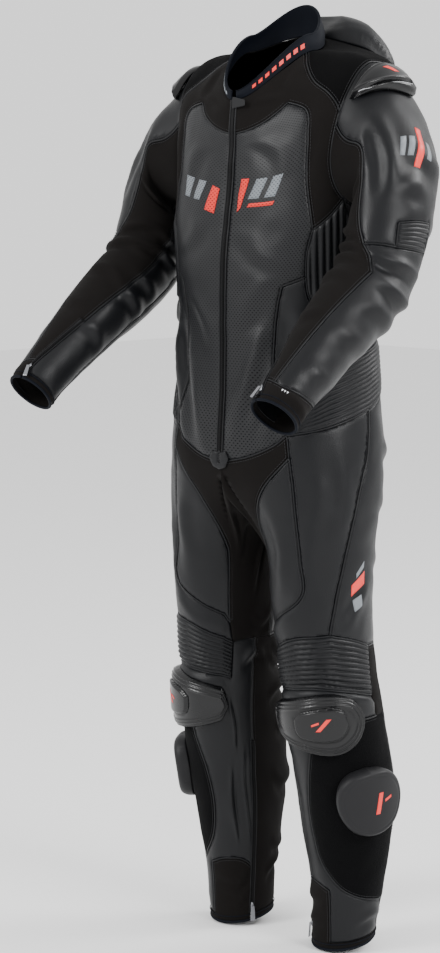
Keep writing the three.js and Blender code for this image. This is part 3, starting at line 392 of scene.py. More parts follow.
def seam_places(name, pitch):
    """Chart places of a seam, and the armhole's sleeve place where it has one."""
    chart = "sleeve" if name in SLEEVE_SEAMS else "body"
    spec = SEAMS[name]
    runs = [q for q in spec if q[0] == "armhole"]
    if runs and len(spec) == 1:
        _, a, b = runs[0]
        count = int(abs(b - a) / (2.5)) + 1
        psi = np.linspace(a, b, count)
        if chart == "sleeve":
            return np.stack([psi, 0 * psi], 1)
        return np.stack(armhole_place(psi), 1)
    points = []
    for q in spec:
        if q[0] != "armhole":
            points.append(q)
        elif chart == "sleeve":
            points.append((q[1], 0.0))
        else:
            points.append(tuple(float(v) for v in armhole_place(np.array(q[1]))))
    return curve(points, pitch, chart)


def outline(names, chart, pitch):
    """The seams of a panel head to tail, each place once, as chart places."""
    f = CHARTS[chart]
    runs = []
    for word in names.split():
        q = seam_places(word.rstrip("+"), pitch)
        if word.endswith("+"):
            q = q + [360, 0]
        runs.append(q)

    def ends(q):
        return f(q[[0, -1], 0], q[[0, -1], 1])

    first, second = ends(runs[0]), ends(runs[1])
    if min(np.linalg.norm(second - first[1], axis=1)) > 0.6:
        runs[0] = runs[0][::-1]
    loop = [runs[0]]
    for q in runs[1:]:
        tail = ends(loop[-1])[1]
        e = ends(q)
        if np.linalg.norm(e[1] - tail) < np.linalg.norm(e[0] - tail):
            q, e = q[::-1], e[::-1]
        if np.linalg.norm(e[0] - tail) > 0.8:
            raise RuntimeError(f"{names}: seam does not follow, {np.linalg.norm(e[0] - tail):.2f} mm")
        loop.append(q)
    return np.concatenate([q[:-1] for q in loop])


def inside(points, loop):
    x, y = points[:, 0][:, None], points[:, 1][:, None]
    a, b = loop, np.roll(loop, -1, axis=0)
    cross = (a[:, 1] > y) != (b[:, 1] > y)
    drop = np.where(b[:, 1] == a[:, 1], 1e-9, b[:, 1] - a[:, 1])
    at = a[:, 0] + (y - a[:, 1]) / drop * (b[:, 0] - a[:, 0])
    return (np.sum(cross & (x < at), axis=1) % 2).astype(bool)


def edge_gap(points, line, closed=True):
    """Distance from points to a polyline's segments, in the same flat units."""
    a = line if closed else line[:-1]
    b = np.roll(line, -1, axis=0) if closed else line[1:]
    best = np.full(len(points), 1e9)
    for k in range(0, len(a), 64):
        p = points[:, None, :]
        d = (b - a)[None, k:k + 64]
        t = np.clip(((p - a[None, k:k + 64]) * d).sum(2) / np.maximum((d**2).sum(2), 1e-9), 0, 1)
        foot = a[None, k:k + 64] + t[..., None] * d
        best = np.minimum(best, np.linalg.norm(p - foot, axis=2).min(1))
    return best


def fill(loop, chart, pitch):
    """Triangulates a chart outline; returns places and triangles, the outline first."""
    w = np.array([WIDTH[chart], 1.0])
    rim = loop * w
    lo, hi = rim.min(0), rim.max(0)
    rows = np.arange(lo[1] + pitch / 2, hi[1], pitch * 0.866)
    columns = [np.arange(lo[0] + (k % 2) * pitch / 2, hi[0], pitch) for k in range(len(rows))]
    grid = np.concatenate([np.stack([c, np.full_like(c, r)], 1) for c, r in zip(columns, rows)])
    grid = grid[inside(grid, rim)]
    grid = grid[edge_gap(grid, rim) > pitch * 0.45]
    pts = np.concatenate([rim, grid])
    n = len(rim)
    ring = [(k, (k + 1) % n) for k in range(n)]
    out, _, faces, _, _, _ = delaunay_2d_cdt([Vector(p) for p in pts], ring, [], 1, 1e-6)
    out = np.array([tuple(v) for v in out])
    tris = np.array([f for f in faces if len(f) == 3])
    centre = out[tris].mean(1)
    tris = tris[inside(centre, rim)]
    a, b, c = out[tris[:, 0]], out[tris[:, 1]], out[tris[:, 2]]
    area = (b[:, 0] - a[:, 0]) * (c[:, 1] - a[:, 1]) - (b[:, 1] - a[:, 1]) * (c[:, 0] - a[:, 0])
    tris = np.where((area > 0)[:, None], tris[:, [0, 2, 1]], tris)
    tris = tris[np.abs(area) > 1e-6]
    return out / w, tris


# ---- relief of the cloth: creases placed one by one, ribs, seam grooves ----
# chart, height, width, (shift round, shift down, strength) on the right half, places along the crease
CREASES = [
    ("body", 7.6, 10, (2, 20, 0.4), [(5, 700), (11, 630), (19, 560), (24, 500)]),
    ("body", 6.6, 8, (0, -12, 0.35), [(12, 698), (19, 640), (27, 590), (31, 520)]),
    ("body", 5.2, 8, (3, 10, 0.5), [(21, 690), (27, 650), (32, 612)]),
    ("body", 2.6, 13, (-3, 30, 1.0), [(6, 520), (14, 470), (26, 420)]),
    ("body", 2.4, 12, (4, -20, 1.0), [(10, 330), (20, 380), (36, 408)]),
    ("body", 2.2, 10, (0, 14, 1.2), [(14, 150), (24, 190), (30, 250)]),
    ("body", 5.0, 11, (0, 16, 0.8), [(40, 462), (46, 510), (40, 580)]),
    ("body", 4.6, 12, (4, -14, 1.1), [(50, 486), (60, 520), (74, 546)]),
    ("body", 4.2, 10, (-4, 10, 0.9), [(38, 640), (46, 590), (54, 530), (70, 486)]),
    ("body", 4.4, 12, (2, 22, 1.0), [(84, 392), (102, 424), (120, 470)]),
    ("body", 3.8, 11, (-3, -18, 1.1), [(84, 462), (102, 498), (126, 512)]),
    ("body", 2.6, 10, (2, 8, 0.9), [(62, 24), (48, 52), (44, 84)]),
    ("body", 2.2, 9, (4, 12, 1.0), [(22, 30), (34, 58), (40, 82)]),
    ("body", 2.4, 8, (-2, 16, 1.0), [(47, 150), (50, 210), (47, 268)]),
    ("body", 3.2, 13, (3, 18, 0.8), [(134, 196), (152, 232), (170, 240)]),
    ("body", 3.8, 13, (-4, -22, 1.1), [(136, 330), (156, 360), (174, 366)]),
    ("body", 4.4, 14, (3, 16, 0.9), [(134, 428), (154, 452), (175, 456)]),
    ("body", 4.6, 12, (-2, 12, 1.1), [(136, 500), (158, 518), (176, 514)]),
    ("body", 3.6, 11, (4, -10, 0.8), [(140, 566), (160, 556), (177, 560)]),
    ("body", 4.4, 14, (0, 18, 0.8), [(112, 690), (138, 712), (166, 716)]),
    ("body", 4.0, 13, (-4, 14, 1.1), [(108, 770), (140, 796), (186, 786)]),
    ("body", 3.4, 12, (4, -16, 1.0), [(100, 860), (136, 880), (196, 868)]),
    ("body", 2.6, 15, (2, 20, 1.2), [(52, 690), (57, 770), (50, 860), (40, 930)]),
    ("body", 2.4, 13, (-4, 10, 0.8), [(70, 676), (76, 750), (68, 840)]),
    ("body", 2.0, 12, (3, -24, 1.3), [(22, 776), (30, 850), (24, 910)]),
    ("body", 3.0, 11, (0, 12, 0.9), [(44, 930), (20, 962), (-4, 986)]),
    ("body", 2.4, 10, (4, 16, 1.0), [(98, 900), (84, 940), (74, 974)]),
    ("body", 4.6, 9, (2, 4, 0.9), [(88, 1088), (60, 1066), (26, 1068), (-18, 1084)]),
    ("body", 3.4, 7, (-4, 2, 1.1), [(92, 1100), (78, 1080), (60, 1074)]),
    ("body", 3.4, 9, (3, 8, 0.8), [(-22, 1100), (-36, 1140), (-34, 1180)]),
    ("body", 4.4, 10, (-4, 6, 1.1), [(132, 1024), (176, 1034), (216, 1022)]),
    ("body", 5.0, 9, (4, -8, 0.9), [(124, 1056), (170, 1066), (220, 1052)]),
    ("body", 4.4, 9, (0, 10, 1.0), [(118, 1096), (168, 1090), (222, 1100)]),
    ("body", 3.8, 11, (-6, 12, 0.9), [(122, 1150), (160, 1164), (210, 1150)]),
    ("body", 3.2, 12, (4, -14, 1.1), [(126, 1260), (168, 1280), (220, 1262)]),
    ("body", 3.4, 10, (-4, 18, 0.8), [(120, 1350), (164, 1362), (230, 1346)]),
    ("body", 3.4, 9, (6, -10, 1.1), [(112, 1424), (160, 1412), (236, 1426)]),
    ("body", 2.8, 8, (-6, 6, 1.0), [(60, 1448), (86, 1440), (110, 1452)]),
    ("body", 2.6, 12, (4, 22, 1.1), [(-20, 1190), (-6, 1260), (-14, 1340)]),
    ("body", 2.4, 10, (-2, -18, 0.8), [(-52, 1210), (-42, 1280), (-50, 1370)]),
    ("body", 2.6, 9, (4, 8, 1.2), [(-44, 1404), (-10, 1412), (22, 1402)]),
    ("body", 2.8, 8, (-6, -4, 0.8), [(-48, 1444), (-12, 1450), (26, 1440)]),
    ("body", 4.6, 13, (6, 16, 0.8), [(300, 752), (318, 800), (330, 860)]),
    ("body", 4.0, 12, (-4, -14, 1.1), [(330, 748), (342, 800), (344, 880)]),
    ("body", 3.8, 11, (5, 10, 1.0), [(250, 780), (270, 850), (288, 920)]),
    ("body", 4.0, 10, (-6, 6, 0.9), [(226, 960), (262, 976), (300, 962)]),
    ("body", 4.0, 9, (4, -6, 1.0), [(236, 1044), (268, 1036), (300, 1048)]),
    ("sleeve", 6.0, 12, (4, 14, 0.9), [(24, 62), (38, 128), (40, 200)]),
    ("sleeve", 3.8, 14, (-6, -10, 1.1), [(52, 112), (96, 136), (150, 124)]),
    ("sleeve", 3.4, 12, (8, 16, 0.8), [(46, 196), (62, 176), (96, 168)]),
    ("sleeve", 4.2, 12, (-4, 10, 1.1), [(138, 196), (172, 206), (218, 192)]),
    ("sleeve", 3.2, 10, (6, -8, 0.9), [(126, 92), (170, 108), (222, 96)]),
    ("sleeve", 6.6, 9, (0, 8, 1.0), [(16, 306), (52, 306), (98, 290), (142, 282)]),
    ("sleeve", 6.0, 10, (8, -6, 0.9), [(58, 344), (104, 334), (160, 316)]),
    ("sleeve", 3.8, 12, (-8, 10, 1.2), [(62, 392), (106, 376), (166, 362)]),
    ("sleeve", 3.4, 14, (6, 16, 0.8), [(46, 452), (92, 444), (150, 420)]),
    ("sleeve", 3.0, 13, (-6, -12, 1.1), [(42, 520), (88, 520), (146, 500)]),
    ("sleeve", 4.6, 9, (6, 6, 0.9), [(-72, 232), (-34, 248), (4, 276)]),
    ("sleeve", 4.8, 8, (-6, 10, 1.1), [(-74, 276), (-32, 286), (16, 304)]),
    ("sleeve", 4.4, 9, (8, -8, 0.8), [(-68, 322), (-28, 318), (28, 330)]),
    ("sleeve", 3.4, 9, (-4, 12, 1.1), [(-60, 376), (-24, 364), (26, 368)]),
    ("sleeve", 2.6, 9, (4, 4, 0.9), [(-44, 440), (-14, 446), (18, 436)]),
    ("sleeve", 3.6, 10, (6, 12, 1.0), [(-80, 96), (-50, 118), (-14, 122)]),
    ("sleeve", 4.4, 10, (-8, 8, 0.9), [(236, 170), (262, 184), (282, 176)]),
    ("sleeve", 5.0, 9, (6, 8, 1.1), [(234, 250), (262, 256), (292, 246)]),
    ("sleeve", 5.2, 9, (-6, -6, 1.0), [(236, 298), (264, 300), (294, 292)]),
    ("sleeve", 4.8, 9, (4, 10, 0.9), [(232, 346), (262, 340), (298, 346)]),
    ("sleeve", 3.8, 10, (-4, -10, 1.1), [(230, 400), (266, 396), (304, 402)]),
    ("sleeve", 3.0, 10, (6, 6, 0.9), [(226, 470), (268, 462), (316, 474)]),
    ("sleeve", 2.8, 8, (0, 4, 0.8), [(30, 580), (80, 576), (140, 582)]),
]

# panel, ribs, depth, upper edge and lower edge as (round, station) points
RIBS = {
    "hip_rib": (12, 4.4, [(37, 668), (48, 610), (64, 574), (100, 545), (133, 528)],
                [(37, 672), (66, 656), (95, 634), (112, 620), (133, 612)]),
    "knee_rib": (10, 5.2, [(-25, 1014), (0, 1006), (30, 984), (60, 977), (78, 988), (94, 1002)],
                 [(-25, 1070), (0, 1066), (48, 1058), (89, 1078), (94, 1080)]),
    "sleeve_rib": (6, 4.2, [(60, 232), (90, 218), (116, 208), (131, 240)],
                   [(60, 274), (66, 272), (100, 258), (131, 248)]),
}


CREASE_GAIN = 1.25    # all creases are this much deeper than their table says


def crease_height(chart, u, at, side):
    """Height of the creases of one chart; a side at -1 takes them moved and scaled by their own shift."""
    w = WIDTH[chart]
    total = np.zeros(len(u))
    for name, height, width, (du, ds, share), points in CREASES:
        if name != chart:
            continue
        line = np.array(points, float)
        k = height * CREASE_GAIN
        if side < 0:
            line = line + [du, ds]
            k = height * CREASE_GAIN * share
        line = curve(line, 22, chart) * [w, 1]
        run = np.r_[0, np.cumsum(np.linalg.norm(np.diff(line, axis=0), axis=1))]
        for turn in (-360, 0, 360):
            q = np.stack([(u + turn) * w, at], 1)
            near = np.all((q > line.min(0) - 4 * width) & (q < line.max(0) + 4 * width), axis=1)
            if not near.any():
                continue
            p = q[near][:, None, :]
            a, d = line[None, :-1], np.diff(line, axis=0)[None]
            t = np.clip(((p - a) * d).sum(2) / np.maximum((d**2).sum(2), 1e-9), 0, 1)
            off = p - a - t[..., None] * d
            gap = np.linalg.norm(off, axis=2)
            best = gap.argmin(1)
            n = np.arange(len(best))
            cross = d[0, best, 0] * off[n, best, 1] - d[0, best, 1] * off[n, best, 0]
            signed = gap[n, best] * np.sign(cross)
            length = np.diff(run)[best]
            place = (run[best] + t[n, best] * length) / run[-1]
            taper = np.sin(np.pi * np.clip(place, 0.02, 0.98)) ** 0.8
            end = np.clip((gap[n, best] - np.abs(cross) / np.maximum(length, 1e-6)) / width, 0, 1)
            fold = np.exp(-((signed / width) ** 2))
            shape = fold - 0.7 * np.exp(-(((signed - 1.5 * width) / width) ** 2))
            total[near] += k * shape * taper * (1 - end)
    return total


ARMHOLE_FADE = 30     # creases die out this near the armhole
CENTRE_FADE = 14      # and this near the centre line
BROAD_SWELL = 74      # size of the cloth's broad swells
SMALL_SWELL = 27
ARM_RIM = np.stack(armhole_place(np.arange(0, 360, 10.0)), 1) * [WIDTH["body"], 1]


def soft_noise(p, size):
    """Uneven swell of the cloth, the same for every piece that passes a place."""
    return np.array([noise.noise(Vector(v)) for v in p / size])


def relief(chart, u, at, side, p):
    """Height of the cloth over the plain form; creases fade at the armhole and the centre."""
    h = crease_height(chart, u, at, side)
    if chart == "sleeve":
        h *= np.clip(at / ARMHOLE_FADE, 0, 1)
    else:
        q = np.stack([np.where(u > 180, 360 - u, u) * WIDTH["body"], at], 1)
        h *= np.where(at < 400, np.clip(edge_gap(q, ARM_RIM) / ARMHOLE_FADE, 0, 1), 1)
        centre = np.abs(p[:, 0]) if at.min() < CROTCH else np.full(len(p), 99.0)
        h *= np.where(at < CROTCH + 1, np.clip(centre / CENTRE_FADE, 0, 1), 1)
    return h + 2.0 * soft_noise(p, BROAD_SWELL) + 0.9 * soft_noise(p, SMALL_SWELL)


def groove(gap):
    """Dip at a seam and the soft rise of the cloth beside it."""
    return -1.3 * np.exp(-gap / 2.0) + 1.1 * (1 - np.exp(-gap / 8.0))


def rib_height(name, u, at, gap):
    """Rounded rolls with sharp grooves between them, fading at the panel's edge."""
    fade = np.clip(gap / 4, 0, 1)
    if name == "side_rib":
        q = (u * WIDTH["body"] - (at - 400) * 0.10) / 9.6   # upright ribs, leaning back, 9.6 mm apart
        return 4.6 * fade * (np.abs(np.sin(np.pi * q)) ** 0.6 - 0.4)
    count, depth, top, low = RIBS[name]
    upper = np.interp(u, *np.array(top, float).T)
    lower = np.interp(u, *np.array(low, float).T)
    t = (at - upper) / np.maximum(lower - upper, 8)
    return depth * fade * (np.abs(np.sin(np.pi * count * t)) ** 0.6 - 0.4)


# ---- materials: all procedural ----
def material(name, colour, rough, spec=0.5, metal=0.0, sheen=0.0):
    m = bpy.data.materials.new(name)
    m.use_nodes = True
    b = m.node_tree.nodes["Principled BSDF"]
    b.inputs["Base Color"].default_value = (*colour, 1)
    b.inputs["Roughness"].default_value = rough
    b.inputs["Metallic"].default_value = metal
    b.inputs["Specular IOR Level"].default_value = spec
    b.inputs["Sheen Weight"].default_value = sheen
    b.inputs["Sheen Roughness"].default_value = 0.5
    return m


def node(m, kind, inputs=(), **settings):
    n = m.node_tree.nodes.new(kind)
    for k, v in settings.items():
        setattr(n, k, v)
    for k, v in inputs:
        if hasattr(v, "is_output"):
            m.node_tree.links.new(v, n.inputs[k])
        else:
            n.inputs[k].default_value = v
    return n


def grain(m, scale, strength, distance, rough_low, rough_high, cells=True):
    """Fine surface bump and uneven sheen."""
    t = m.node_tree
    b = t.nodes["Principled BSDF"]
    place = node(m, "ShaderNodeTexCoord").outputs["Object"]
    fine = node(m, "ShaderNodeTexNoise", [("Vector", place), ("Scale", scale), ("Detail", 4.0)])
    height = fine.outputs["Fac"]
    if cells:
        v = node(m, "ShaderNodeTexVoronoi", [("Vector", place), ("Scale", scale * 0.8)],
                 feature="DISTANCE_TO_EDGE")
        both = node(m, "ShaderNodeMath", [(0, v.outputs["Distance"]), (1, height)], operation="ADD")
        height = both.outputs[0]
    bump = node(m, "ShaderNodeBump", [("Height", height), ("Strength", strength), ("Distance", distance)])
    t.links.new(bump.outputs["Normal"], b.inputs["Normal"])
    broad = node(m, "ShaderNodeTexNoise", [("Vector", place), ("Scale", 14.0), ("Detail", 5.0)])
    spread = node(m, "ShaderNodeMapRange", [
        ("Value", broad.outputs["Fac"]), ("From Min", 0.3), ("From Max", 0.7),
        ("To Min", rough_low), ("To Max", rough_high)])
    t.links.new(spread.outputs["Result"], b.inputs["Roughness"])


HOLES_PER_M = (230.0, 266.0, 1.0)   # along a row and from row to row
HOLE_EDGE = (0.13, 0.24)            # where a hole's edge starts and ends, as a share of the spacing
HOLE_DARK = (0.001, 0.001, 0.001, 1)


def punched(m):
    """Rows of small round holes, every second row half a step along."""
    t = m.node_tree
    b = t.nodes["Principled BSDF"]

    def maths(kind, *inputs):
        return node(m, "ShaderNodeMath", list(enumerate(inputs)), operation=kind).outputs[0]

    def vector(kind, *inputs):
        return node(m, "ShaderNodeVectorMath", list(enumerate(inputs)), operation=kind)

    uv = node(m, "ShaderNodeUVMap", uv_map="cloth")
    cells = vector("MULTIPLY", uv.outputs["UV"], HOLES_PER_M)
    xyz = node(m, "ShaderNodeSeparateXYZ", [(0, cells.outputs[0])])
    odd = maths("FLOORED_MODULO", maths("FLOOR", xyz.outputs["Y"]), 2.0)
    x = maths("ADD", xyz.outputs["X"], maths("MULTIPLY", odd, 0.5))
    at = node(m, "ShaderNodeCombineXYZ", [("X", maths("FRACT", x)), ("Y", maths("FRACT", xyz.outputs["Y"]))])
    gap = vector("DISTANCE", at.outputs[0], (0.5, 0.5, 0.0)).outputs["Value"]
    first, last = HOLE_EDGE
    hole = node(m, "ShaderNodeMapRange", [("Value", gap), ("From Min", first), ("From Max", last)])
    shade = node(m, "ShaderNodeMix", [("Factor", hole.outputs["Result"])], data_type="RGBA")
    shade.inputs["A"].default_value = HOLE_DARK
    shade.inputs["B"].default_value = b.inputs["Base Color"].default_value
    t.links.new(shade.outputs["Result"], b.inputs["Base Color"])
    t.links.new(maths("MULTIPLY", hole.outputs["Result"], 0.24), b.inputs["Specular IOR Level"])


# finish: material, colour, roughness, specular, grain's scale, strength, depth, least and most roughness
FINISHES = {
    "leather": ("leather", (0.0042, 0.0045, 0.0054), 0.42, 0.2, (620, 0.35, 0.0006, 0.33, 0.48)),
    "perforated": ("perforated_leather", (0.0085, 0.0089, 0.0100), 0.45, 0.5, (620, 0.3, 0.0005, 0.38, 0.5)),
    "textile": ("stretch_textile", (0.0052, 0.0044, 0.0041), 0.9, 0.08, (900, 0.5, 0.0006, 0.86, 0.95)),
    "stretch": ("black_stretch", (0.0018, 0.0018, 0.002), 0.95, 0.06, (900, 0.5, 0.0006, 0.9, 0.97)),
    "loop": ("loop_pile", (0.0020, 0.0020, 0.0023), 0.97, 0.06, (500, 0.9, 0.0012, 0.93, 0.98)),
    "trim": ("navy_trim", (0.0022, 0.0032, 0.0062), 0.72, 0.1, (700, 0.4, 0.0005, 0.62, 0.8)),
    "armour": ("moulded_armour", (0.0028, 0.0029, 0.0034), 0.22, 0.34, (300, 0.08, 0.0003, 0.2, 0.32)),
    "puck": ("moulded_puck", (0.0085, 0.0085, 0.0095), 0.5, 0.2, (500, 0.25, 0.0004, 0.42, 0.56)),
    "zip": ("zip_teeth", (0.002, 0.002, 0.0024), 0.5, 0.12, None),
    "metal": ("dark_metal", (0.22, 0.225, 0.24), 0.32, 0.5, None),
    "thread": ("thread", (0.010, 0.010, 0.0115), 0.7, 0.3, None),
    "red": ("print_red", (0.72, 0.032, 0.022), 0.45, 0.4, None),
    "grey": ("print_grey", (0.155, 0.170, 0.185), 0.5, 0.4, None),
    "red_dots": ("print_red_punched", (0.62, 0.028, 0.020), 0.45, 0.36, None),
    "grey_dots": ("print_grey_punched", (0.150, 0.165, 0.180), 0.5, 0.36, None),
    "chip": ("bright_chip", (0.62, 0.63, 0.65), 0.3, 0.5, None),
}
SHEEN = {"textile": 0.012, "loop": 0.01}
METALNESS = {"metal": 1.0}
SMOOTH_GRAIN = {"trim", "armour", "puck"}   # these have no leather-like cells
PUNCHED = {"perforated", "red_dots", "grey_dots"}


def make_materials():
    mats = {}
    for finish, (name, colour, rough, spec, grained) in FINISHES.items():
        m = material(name, colour, rough, spec, METALNESS.get(finish, 0.0), SHEEN.get(finish, 0.0))
        if grained:
            grain(m, *grained, cells=finish not in SMOOTH_GRAIN)
        if finish in PUNCHED:
            punched(m)
        mats[finish] = m
    return mats


MATS = make_materials()
objects = {}


def add_object(name, verts, faces, mat, replaces=(), uv=None, smooth=True):
    """A mesh in metres from points in mm, on the suit; one that replaces a CAD node is named _skin."""
    mesh = bpy.data.meshes.new(name)
    metres = (np.asarray(verts, float) / 1000).tolist()
    mesh.from_pydata(metres, [], [tuple(int(i) for i in f) for f in faces])
    mesh.update()
    mesh.materials.append(MATS[mat])
    if uv is not None:
        layer = mesh.uv_layers.new(name="cloth")
        index = np.empty(len(mesh.loops), int)
        mesh.loops.foreach_get("vertex_index", index)
        layer.data.foreach_set("uv", (np.asarray(uv)[index] / 1000).astype(np.float32).ravel())
    mesh.polygons.foreach_set("use_smooth", [smooth] * len(mesh.polygons))
    o = bpy.data.objects.new(name + "_skin" if replaces else name, mesh)
    bpy.context.scene.collection.objects.link(o)
    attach(o, "suit")
    for r in replaces:
        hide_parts(r)
    objects[name] = o
    return o


def shell(outer, inner, tris, skip=None):
    """Closes an outer and an inner skin into one thin wall."""
    n = len(outer)
    verts = np.concatenate([outer, inner])
    faces = [tris, tris[:, [0, 2, 1]] + n]
    edges = {}
    for a, b, c in tris.tolist():
        for e in ((a, b), (b, c), (c, a)):
            if (e[1], e[0]) in edges:
                del edges[(e[1], e[0])]
            else:
                edges[e] = True
    rim = np.array([e for e in edges if skip is None or not (skip[e[0]] and skip[e[1]])])
    a, b = rim[:, 0], rim[:, 1]
    faces.append(np.stack([b, a, a + n], 1))
    faces.append(np.stack([b, a + n, b + n], 1))
    return verts, np.concatenate(faces)


def panel_skins(name, chart, names, side):
    """Outer and inner skin of one panel, filled in between its seams."""
    pitch = RIB_PITCH if "rib" in name else PITCH
    loop = outline(names, chart, min(PITCH, SEAM_PITCH))
    q, tris = fill(loop, chart, pitch)
    u, at = q[:, 0], q[:, 1]
    p = CHARTS[chart](u, at)
    n = outward(chart, u, at)
    rim_q = loop * [WIDTH[chart], 1]
    centred = np.abs(CHARTS[chart](loop[:, 0], loop[:, 1])[:, 0]) < 0.01
    if chart == "body":
        centred &= loop[:, 1] < CROTCH + 0.01
    else:
        centred[:] = False
    zip_side = name in ("chest_yoke", "front_panel")
    if centred.any() and not zip_side:
        keep = ~centred
        gap = edge_gap(q * [WIDTH[chart], 1], rim_q[keep])
        gap = np.where(gap < 0.01, 0, gap)
    else:
        gap = edge_gap(q * [WIDTH[chart], 1], rim_q)
    h = relief(chart, u, at, side, p) + groove(gap)
    if name in RIBS or name == "side_rib":
        h = h + rib_height(name, u, at, gap)
    outer = p + n * h[:, None]
    inner = outer - n * WALL
    return q, tris, outer, inner


def build_panels():
    for name, chart, kind, across, names in PANELS:
        mat = "stretch" if name == "back_yoke" else kind
        made = []
        for side in (1, -1):
            q, tris, outer, inner = panel_skins(name, chart, names, side)
            uv = np.stack([q[:, 0] * WIDTH[chart], q[:, 1]], 1)
            skip = (np.abs(outer[:, 0]) < CENTRE) if across else None
            verts, faces = shell(outer, inner, tris, skip)
            if side < 0:
                verts = verts * [-1, 1, 1]
                faces = faces[:, [0, 2, 1]]
            made.append((verts, faces, np.concatenate([uv, uv])))
        if across:
            (v1, f1, uv1), (v2, f2, uv2) = made
            v = np.concatenate([v1, v2])
            on = np.abs(v[:, 0]) < CENTRE
            v[on, 0] = 0
            f = np.concatenate([f1, f2 + len(v1)])
            o = add_object(name, v, f, mat, replaces=[name], uv=np.concatenate([uv1, uv2]))
            join_centre(o)
        else:
            for (v, f, uv), end in zip(made, ("_left", "_right")):
                add_object(name + end, v, f, mat, replaces=[name + end], uv=uv)


def join_centre(o):
    """Welds the two halves of a piece along the centre line."""
    bm = bmesh.new()
    bm.from_mesh(o.data)
    seam = [v for v in bm.verts if abs(v.co.x) < 1e-6]
    bmesh.ops.remove_doubles(bm, verts=seam, dist=0.0003)
    bm.to_mesh(o.data)
    bm.free()


build_panels()


# ---- padded and hard pieces: outline, crown, bevel and underside as on the CAD model ----
def smooth_loop(points, chart, pitch):
    pts = np.array(list(points) + [points[0]], float)
    return curve(pts, pitch, chart)[:-1]


def rise(d, bevel):
    """From 0 at the edge to 1 at bevel mm in, round like a quarter circle."""
    return np.sqrt(np.maximum(0, 1 - (1 - np.minimum(d / bevel, 1)) ** 2))


def both_sides(name, v, f, mat):
    """The same piece on the wearer's left and, mirrored, on the right."""
    for end, sx in (("_left", 1), ("_right", -1)):
        ff = f if sx > 0 else f[:, [0, 2, 1]]
        add_object(name + end, v * [sx, 1, 1], ff, mat, replaces=[name + end])


def pad_mesh(chart, points, pitch, under, height):
    """A solid pad: its top at height over the cloth's plain form, its underside at under."""
    loop = smooth_loop(points, chart, pitch)
    q, tris = fill(loop, chart, pitch)
    u, at = q[:, 0], q[:, 1]
    p, n = CHARTS[chart](u, at), outward(chart, u, at)
    gap = edge_gap(q * [WIDTH[chart], 1], loop * [WIDTH[chart], 1])
    outer = p + n * height(gap, u, at)[:, None]
    return shell(outer, p + n * under, tris)


def ridge(gap, at, width, height):
    return height * np.exp(-(((gap - at) / width) ** 2))


# outlines of the pads as chart places: knee armour, its raised middle plate, knee slider, shoulder, its vent
KNEE_ARMOUR = [(-20, 1112), (-6, 1088), (24, 1071), (50, 1063), (67, 1074), (73, 1104), (66, 1138),
               (50, 1158), (24, 1152), (-4, 1134)]
KNEE_PLATE = [(24, 1100), (30, 1091), (50, 1084), (57, 1090), (58, 1112), (50, 1130), (28, 1128),
              (24, 1118)]
PUCK = [(66, 1186), (79, 1192), (89, 1212), (93, 1242), (88, 1272), (78, 1290), (64, 1295), (52, 1284),
        (44, 1258), (42, 1230), (46, 1206), (54, 1191)]
SHOULDER = [(40, 15), (46, 36), (62, 54), (86, 62), (108, 56), (122, 38), (128, 16), (108, 10), (84, 9),
            (58, 10)]
SHOULDER_VENT = [(42, 22), (54, 40), (70, 49), (90, 50), (106, 44)]


def line_gap(chart, u, at, points):
    line = curve(points, 4, chart) * [WIDTH[chart], 1]
    return edge_gap(np.stack([u * WIDTH[chart], at], 1), line, closed=False)


def knee_armour_height(gap, u, at):
    w = WIDTH["body"]
    plate = smooth_loop(KNEE_PLATE, "body", 4) * [w, 1]
    q = np.stack([u * w, at], 1)
    d = edge_gap(q, plate)
    on = inside(q, plate)
    h = 4.2 + 12.0 * rise(gap, 26)
    h += ridge(gap, 4.5, 1.5, 2.6) + ridge(gap, 9.5, 1.5, 2.8) + ridge(gap, 14.5, 1.5, 2.2)
    h += np.where(on, 4.0 * rise(d, 2.4), -1.8 * np.exp(-((d / 2.4) ** 2)))
    return h


def puck_height(gap, u, at):
    return 4.6 + 18.6 * rise(gap, 9) - 0.66 * np.exp(-((gap - 12) ** 2))


def shoulder_height(gap, u, at):
    vent = line_gap("sleeve", u, at, SHOULDER_VENT)
    h = 6.4 + 10.6 * rise(gap, 20)
    h += ridge(gap, 4, 1.4, 1.4) + ridge(vent, 5, 2.4, 2.2) - ridge(vent, 0, 2.0, 5.5)
    return h


for pad_name, chart, points, under, height, mat in (
    ("knee_armour", "body", KNEE_ARMOUR, 1.5, knee_armour_height, "armour"),
    ("knee_puck", "body", PUCK, 1.6, puck_height, "puck"),
    ("shoulder_armour", "sleeve", SHOULDER, 3.4, shoulder_height, "armour"),
):
    pad_verts, pad_faces = pad_mesh(chart, points, FINE, under, height)
    both_sides(pad_name, pad_verts, pad_faces, mat)

def add_whole(name, verts, faces, mat):
    """One piece over the centre line, made from its left half."""
    whole = np.concatenate([verts, verts * [-1, 1, 1]])
    right = faces[:, [0, 2, 1]] + len(verts)
    join_centre(add_object(name, whole, np.concatenate([faces, right]), mat, replaces=[name]))


def grid_faces(rows, cols):
    """Two triangles to each cell of a grid of points."""
    idx = np.arange(rows * cols).reshape(rows, cols)
    a, b, c, d = (g.ravel() for g in (idx[:-1, :-1], idx[1:, :-1], idx[1:, 1:], idx[:-1, 1:]))
    return np.concatenate([np.stack([a, b, c], 1), np.stack([a, c, d], 1)])


HUMP = [(180, 12), (160, 13), (150, 34), (146, 84), (149, 160), (156, 230), (167, 282), (180, 296)]
HUMP_PROFILE = np.array([(12, 20), (50, 44), (90, 50), (150, 40), (220, 22), (296, 6)], float)


